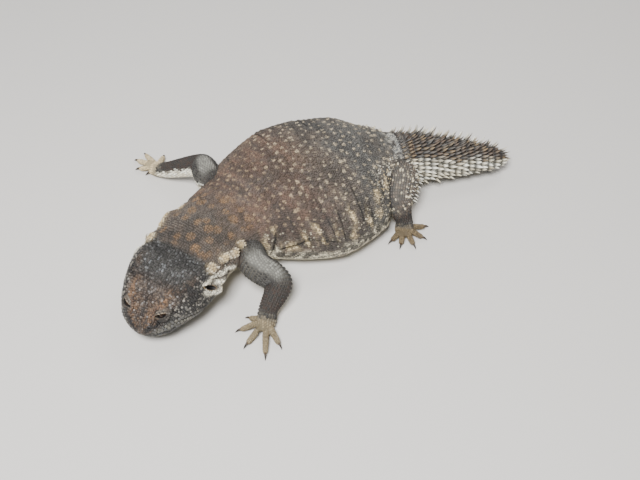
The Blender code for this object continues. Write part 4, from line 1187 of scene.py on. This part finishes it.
CUP_SIDES = 32
# painted shade for the bottoms of the nostrils and ears
HOLLOW_SHADE = tone(10, 8, 8)
NOSTRIL_SIZE = 0.75 * MM, 0.85 * MM
NOSTRIL_PROFILE = [(1.9, -0.45), (1.45, 0.2), (1.0, 0.35), (0.75, 0.1), (0.6, -0.6), (0.02, -0.8)]
EAR_PROFILE = [(1.3, -1.4), (1.14, -0.5), (1.0, -0.3), (0.86, -0.7), (0.72, -1.6), (0.4, -2.3), (0.02, -2.5)]
EAR_COLOURS = [TAN, TAN, BROWN, SOOT, HOLLOW_SHADE, HOLLOW_SHADE, HOLLOW_SHADE]
for side_name, sign in SIDES:
    nostril = head_frame(NOSTRIL_PLACE, NOSTRIL_ANGLE, sign)
    cup(side_name + "_nostril", nostril, *NOSTRIL_SIZE, NOSTRIL_PROFILE, [SOOT] * 3 + [HOLLOW_SHADE] * 3)
    cup(side_name + "_ear", ear_frame(sign), EAR_HALF_LENGTH, EAR_HALF_HEIGHT, EAR_PROFILE, EAR_COLOURS)


# Neck cones. Clusters of pointed yellow-cream scales on the lobes and folds at each side of the neck, and a
# comb of smaller ones before the ear. Each group has its place, degrees, count along and around, and length
# in mm.
CONE_GROUPS = [
    (-93, 143, 4, 4, 2.2), (-85, 149, 4, 4, 2.3), (-80, 153, 3, 4, 2.2), (-73, 150, 4, 4, 2.0),
    (-104.8, 165, 2, 6, 1.4), (-99, 154, 3, 3, 1.6), (-93, 159, 3, 3, 1.6), (-88, 169, 3, 4, 1.5),
    (-84, 179, 3, 4, 1.3), (-100, 182, 4, 3, 1.2),
]
CONE_STEP = 1.25 * MM
THORN = ((-0.25, 0.95), (0.12, 1.0), (0.5, 0.66), (0.82, 0.28))  # shares of a spike's length and width


def thorns(length, width, rise, curl, sides=6):
    """Points of pointed scales, their triangles and each point's share of the way to the tip. Each is an
    ellipse that shrinks along a curved line, which leaves the skin at the angle rise and turns by curl."""
    turn = round_angles(sides)
    far, wide = np.array(THORN).T
    lean = (rise[:, None] + curl[:, None] * far)[..., None]
    thick = np.where(np.sin(turn) > 0, 0.72, 0.4) * np.sin(turn)
    half = (width[:, None] / 2 * wide)[..., None]
    x = length[:, None, None] * far[:, None] * np.cos(lean) - half * thick * np.sin(lean)
    z = length[:, None, None] * far[:, None] * np.sin(lean) + half * thick * np.cos(lean)
    ellipses = np.stack([x, half * np.cos(turn) + 0 * x, z], -1).reshape(len(length), -1, 3)
    tip = np.stack([length * np.cos(rise + curl), 0 * length, length * np.sin(rise + curl)], -1)[:, None]
    triangles = peak_triangles(sides, len(THORN))[:, [0, 2, 1]]
    return np.concatenate([ellipses, tip], 1), triangles, np.append(np.repeat(far, sides), 1).clip(0)


def thorn_tints(base, tip, share, draw):
    """Colours from a spike's base to its tip."""
    own = draw.uniform(0.85, 1.12, (len(base), 1))
    return (base * own)[:, None] * (1 - share)[None, :, None] + (tip * own)[:, None] * share[None, :, None]


draw = np.random.default_rng(53)
rows = []
for place, degrees, *counts, length in CONE_GROUPS:
    i, j = np.indices(counts).reshape(2, -1)
    ahead, aside = i - (counts[0] - 1) / 2, j - (counts[1] - 1) / 2
    at = place * MM + ahead * CONE_STEP
    turned = degrees + np.degrees((aside + 0.5 * (i % 2)) * CONE_STEP / (TRUNK_RADIUS * MM))
    mid = 1 - 0.3 * np.hypot(ahead / counts[0], aside / counts[1]) * 2
    for _, sign in SIDES:
        rows.append(np.stack([at, on_side(turned, sign), length * MM * mid], 1))
s, angle, length = np.concatenate(rows).T
s, angle = s + draw.uniform(-0.2, 0.2, len(s)) * CONE_STEP, angle + draw.uniform(-0.012, 0.012, len(s))
length = length * draw.uniform(0.8, 1.2, len(s))
places = frames(trunk_point, s, angle, 0.3 * MM, 0.01)
rise = np.radians(draw.uniform(24, 46, len(s)))
shape, triangles, share = thorns(length, 0.62 * length + 0.5 * MM, rise, np.full(len(s), -0.3))
luck = draw.random(len(s))
base = trunk_colour(s, angle, luck)
lobe = np.clip(1.6 * patches(s, angle, NECK_LOBES), 0, 1)
tip = mix(base, mix(mix(CREAM, CHALK, luck), YELLOW, lobe * (0.75 + 0.25 * luck)), 0.85)
tint = thorn_tints(mix(0.5 * base, BROWN, 0.4), tip, ease(share / 0.6), draw)
unwrap = unwrapped(s, np.degrees(angle) % 360 / 360)
coat("neck_cones", places, shape, triangles, tint, unwrap, head_finish)


# Leg scales. Keeled rhombic scales in rings down each leg, pale at their edges, finer ones round the toes,
# and on the hind legs three rows of white-tipped spikes along the thigh's rear edge.
LEG_PITCH, LEG_SPACING, TOE_PITCH = 1.4 * MM, 1.42 * MM, 0.95 * MM
TOE_TONE = 4.6  # the place along the leg, in joints, whose colour the toes take
leg_finish = tinted("leg_scales", rough=0.42, rough_swing=0.3, grain=0.35 * MM, bump=0.3)
claw_finish = tinted("claws", rough=0.28, rough_swing=0.2, grain=0.5 * MM, bump=0.1)
CLAW_SIDES = 12
THIGH_ROWS = ((0.15, 3.6), (0.62, 2.3), (1.0, 1.5))  # each row's angle up the thigh's rear, and length in mm


def claw_bones(limb, k):
    """A claw's joints: out of the toe's end, over and down to a point on the floor."""
    joints, _, ahead = toe_bones(limb, k)
    end = joints[-1] * [1, 1, 0]
    far, high = np.array([-2, -0.2, 0.9, 2.0, 2.9]) * MM, np.array([1.8, 2.0, 1.9, 1.2, 0.3]) * MM
    sizes = np.array([(0.7, 0.8), (0.66, 0.78), (0.5, 0.62), (0.3, 0.38), (0.07, 0.08)]) * MM
    return end + far[:, None] * ahead + high[:, None] * [0, 0, 1], sizes


for number, limb in enumerate(LIMBS):
    draw = np.random.default_rng(61 + number)
    hind = limb.name.endswith("hind")
    surface = leg_surface(limb)
    t, angle, share = scale_rings(surface, 0.25, 4.97, LEG_PITCH, LEG_SPACING)
    unwrap = np.stack([0.7 * t / 5, share % 1], 1)
    sets = [(*frames(surface, t, angle, 0.02, 0.05), t, np.full(len(t), 1.0), unwrap)]
    for k in range(len(limb.toes)):
        surface = toe_surface(limb, k)
        t, angle, share = scale_rings(surface, 0.2, 2.97, TOE_PITCH, TOE_PITCH)
        unwrap = np.stack([0.74 + 0.26 * t / 3, (k + 0.1 + 0.8 * (share % 1)) / 5], 1)
        here = frames(surface, t, angle, 0.02, 0.05)
        small = np.full(len(t), TOE_PITCH / LEG_PITCH)
        keep = limb_place(limb, here[0])[1] > 0.93
        sets.append([part[keep] for part in (*here, np.full(len(t), TOE_TONE), small, unwrap)])
    *places, t, small, unwrap = (np.concatenate(parts) for parts in zip(*sets))
    keep = (trunk_place(places[0])[2] > 0.975) | (t > 4)
    *places, t, small, unwrap = (part[keep] for part in (*places, t, small, unwrap))
    luck = draw.random(len(t))
    outline, triangles, edge = shield(6, 0.3, ((1.0, -0.7), (0.72, 0.7)), 0.3)
    rough_thigh = between(t, -1, 2.1, 0.3) * ease(7 * luck - 5.8) if hind else 0 * t
    size = small[:, None] * np.array([0.58 * LEG_PITCH, 0.5 * LEG_SPACING, 0.36 * MM])
    size *= draw.uniform(0.9, 1.08, (len(t), 1))
    size[:, 2] *= 1 + 2.4 * rough_thigh
    shape = outline * size[:, None]
    shape[..., 2] += 0.12 * shape[..., 0]
    tint = scale_tints(limb_colour(limb.name, t, places[3], luck), edge, 1.0, draw)
    bright = 0.32 * edge * (small[:, None] > 0.99) * (0.6 if hind else 1.0)
    tint = mix(tint, LEG_NET, bright * (1 - 0.6 * between(t, 2.1, 3.1, 0.3))[:, None])
    coat(limb.name + "_scales", places, shape, triangles, tint, unwrap, leg_finish)

    turn, reach = round_angles(CLAW_SIDES), np.linspace(0, 4, 18)
    claws = [rings(partial(tube_point, *claw_bones(limb, k), grow=0.0), reach, turn) for k in range(5)]
    nails = mesh_object(limb.name + "_claws", *tube_mesh(claws))
    toward_tip = np.tile(np.append(np.repeat(reach / 4, CLAW_SIDES), [0, 1]), 5)
    claw_tint = mix(tone(96, 76, 54), tone(32, 25, 20), toward_tip * 1.6)
    dress(nails, claw_tint, claw_finish)

    if hind:
        t = np.linspace(0.62, 1.8, 10)
        line = path(limb.joints, t)
        ahead = path(limb.joints, t + TANGENT) - path(limb.joints, t - TANGENT)
        ahead /= np.linalg.norm(ahead, axis=1)[:, None]
        rear = np.cross([0, 0, 1], ahead)
        rear *= (np.sign(rear[:, 0]) / np.linalg.norm(rear, axis=1))[:, None]
        up = np.cross(ahead, rear)
        up *= np.sign(up[:, 2])[:, None]
        wide, high = (through(t, np.arange(len(limb.joints)), limb.sizes[:, k]) for k in range(2))
        rows = []
        for lift, long in THIGH_ROWS:
            out = np.cos(lift) * rear + np.sin(lift) * up
            root = line + 0.93 * (np.cos(lift) * wide[:, None] * rear + np.sin(lift) * high[:, None] * up)
            rows.append((root, ahead, np.cross(out, ahead), out, long * MM * draw.uniform(0.85, 1.1, len(t))))
        *places, length = (np.concatenate(parts) for parts in zip(*rows))
        rise, curl = np.full(len(length), np.radians(74)), np.full(len(length), -0.25)
        shape, triangles, share = thorns(length, 0.3 * length + 0.6 * MM, rise, curl)
        base, tip = (np.tile(colour, (len(length), 1)) for colour in (0.6 * SOOT, 1.1 * CHALK))
        tint = thorn_tints(base, tip, ease((share - 0.25) / 0.4), draw)
        unwrap = np.stack([np.tile(t / 2, 3), np.repeat([0.2, 0.5, 0.8], len(t))], 1)
        coat(limb.name + "_thigh_spikes", places, shape, triangles, tint, unwrap, leg_finish)


# Tail. Rings of large keeled spikes, one ring to each joint of the tail, that lean rearwards and stand out
# at its sides, over small scales. The underside has flat scales only, but the last two rings go all round.
WHORL, WHORL_START = 4.1 * MM, 51.5 * MM
SPIKE_WIDTH, SPIKE_LENGTHS = 2.5 * MM, (4.6 * MM, 4.8 * MM)  # the lengths on the back and at the sides
draw = np.random.default_rng(71)
rows = []
TIP_RINGS = TAIL_TIP - np.array([1.3, 0.35]) * MM  # two rings go all round the tail's end
FAN = 200  # points along each ring, over which its spikes are spaced evenly
for k, place in enumerate(np.append(np.arange(WHORL_START, TAIL_TIP - 1 * MM, WHORL), TIP_RINGS)):
    first, last = (-90, 250) if place >= TIP_RINGS[0] else (-18, 198)
    fan = np.radians(np.linspace(first, last, FAN))
    steps = np.linalg.norm(np.diff(trunk_point(np.full(FAN, place), fan), axis=0), axis=1)
    reach = np.concatenate([[0], np.cumsum(steps)])
    small = 0.62 + 0.38 * min(1, reach[-1] / (42 * MM))
    count = max(7, round(reach[-1] / (0.86 * SPIKE_WIDTH * small)))
    turned = np.interp((np.arange(count) + 0.25 + 0.5 * (k % 2)) / count * reach[-1], reach, fan)
    grown = small * (0.65 + 0.35 * min(1, k / 3))
    rows.append(np.stack([np.full(count, place), turned, np.full(count, grown)], 1))
s, angle, small = np.concatenate(rows).T
s = s + draw.uniform(-0.25, 0.25, len(s)) * MM
side = np.abs(np.cos(angle))
length = (SPIKE_LENGTHS[0] + (SPIKE_LENGTHS[1] - SPIKE_LENGTHS[0]) * side) * small
length = length * draw.uniform(0.85, 1.12, len(s))
width = SPIKE_WIDTH * np.minimum(small, 1) * draw.uniform(0.9, 1.1, len(s))
far_side = between(np.degrees(angle), 5, 62, 25)
length = length * (1 + 0.35 * far_side) * draw.uniform(0.85, 1.15, len(s))
rise = np.radians(40 - 16 * side + 26 * far_side + draw.uniform(-12, 12, len(s)))
places = frames(trunk_point, s, angle, 0.3 * MM, 0.02)
shape, triangles, share = thorns(length, width, rise, np.full(len(s), 0.22), 8)
luck = draw.random(len(s))
turned = np.abs(np.degrees(angle) - 90)
pale = ease((turned - 36 - 22 * (luck - 0.5)) / 16)
brown = mix(0.9 * BROWN, SLATE, draw.random(len(s)))
brown = mix(brown, mix(OCHRE, TAN, 0.5), 0.5 * ease(3 * draw.random(len(s)) - 1.8))
white = mix(1.2 * CHALK, CREAM, draw.random(len(s)))
white = mix(white, mix(SLATE, TAN, 0.5), 0.7 * ease(6 * draw.random(len(s)) - 4.7))
tip = mix(1.05 * brown, white, pale)
# painted shade: each spike darkens towards soot at its base, between the spikes
tint = thorn_tints(mix(0.3 * tip, 0.5 * SOOT, 0.7), tip, ease((share - 0.16) / 0.45), draw)
unwrap = unwrapped(s, (turned * np.sign(np.cos(angle)) + 120) / 240)
tail_finish = tinted("tail_spines", rough=0.42, rough_swing=0.3, grain=0.4 * MM, bump=0.35)
coat("tail_spikes", places, shape, triangles, tint, unwrap, tail_finish)

TAIL_PITCH = 1.43 * MM
s, angle, share = scale_rings(trunk_point, VENT - 4 * MM, TAIL_TIP - 0.3 * MM, TAIL_PITCH, TAIL_PITCH)
places = frames(trunk_point, s, angle, 0.2 * MM, 0.02)
keep = clear_of_legs(places[0])
s, angle, share, places = s[keep], angle[keep], share[keep], [part[keep] for part in places]
luck = draw.random(len(s))
outline, triangles, edge = shield(6, 0.2, keel=0.2)
size = np.array([0.62 * TAIL_PITCH, 0.54 * TAIL_PITCH, 0.36 * MM]) * draw.uniform(0.88, 1.1, (len(s), 1))
size *= (0.6 + 0.4 * closing(s))[:, None]
shape = outline * size[:, None]
shape[..., 2] += 0.12 * shape[..., 0]
# painted shade: the small scales among the spike rings are darkened
spiny = ease((s - 58 * MM) / (5 * MM))[:, None]
tint = scale_tints((0.95 - 0.55 * spiny) * trunk_colour(s, angle, luck), edge, 0.4, draw)
coat("tail_scales", places, shape, triangles, tint, unwrapped(s, share % 1), tail_finish)
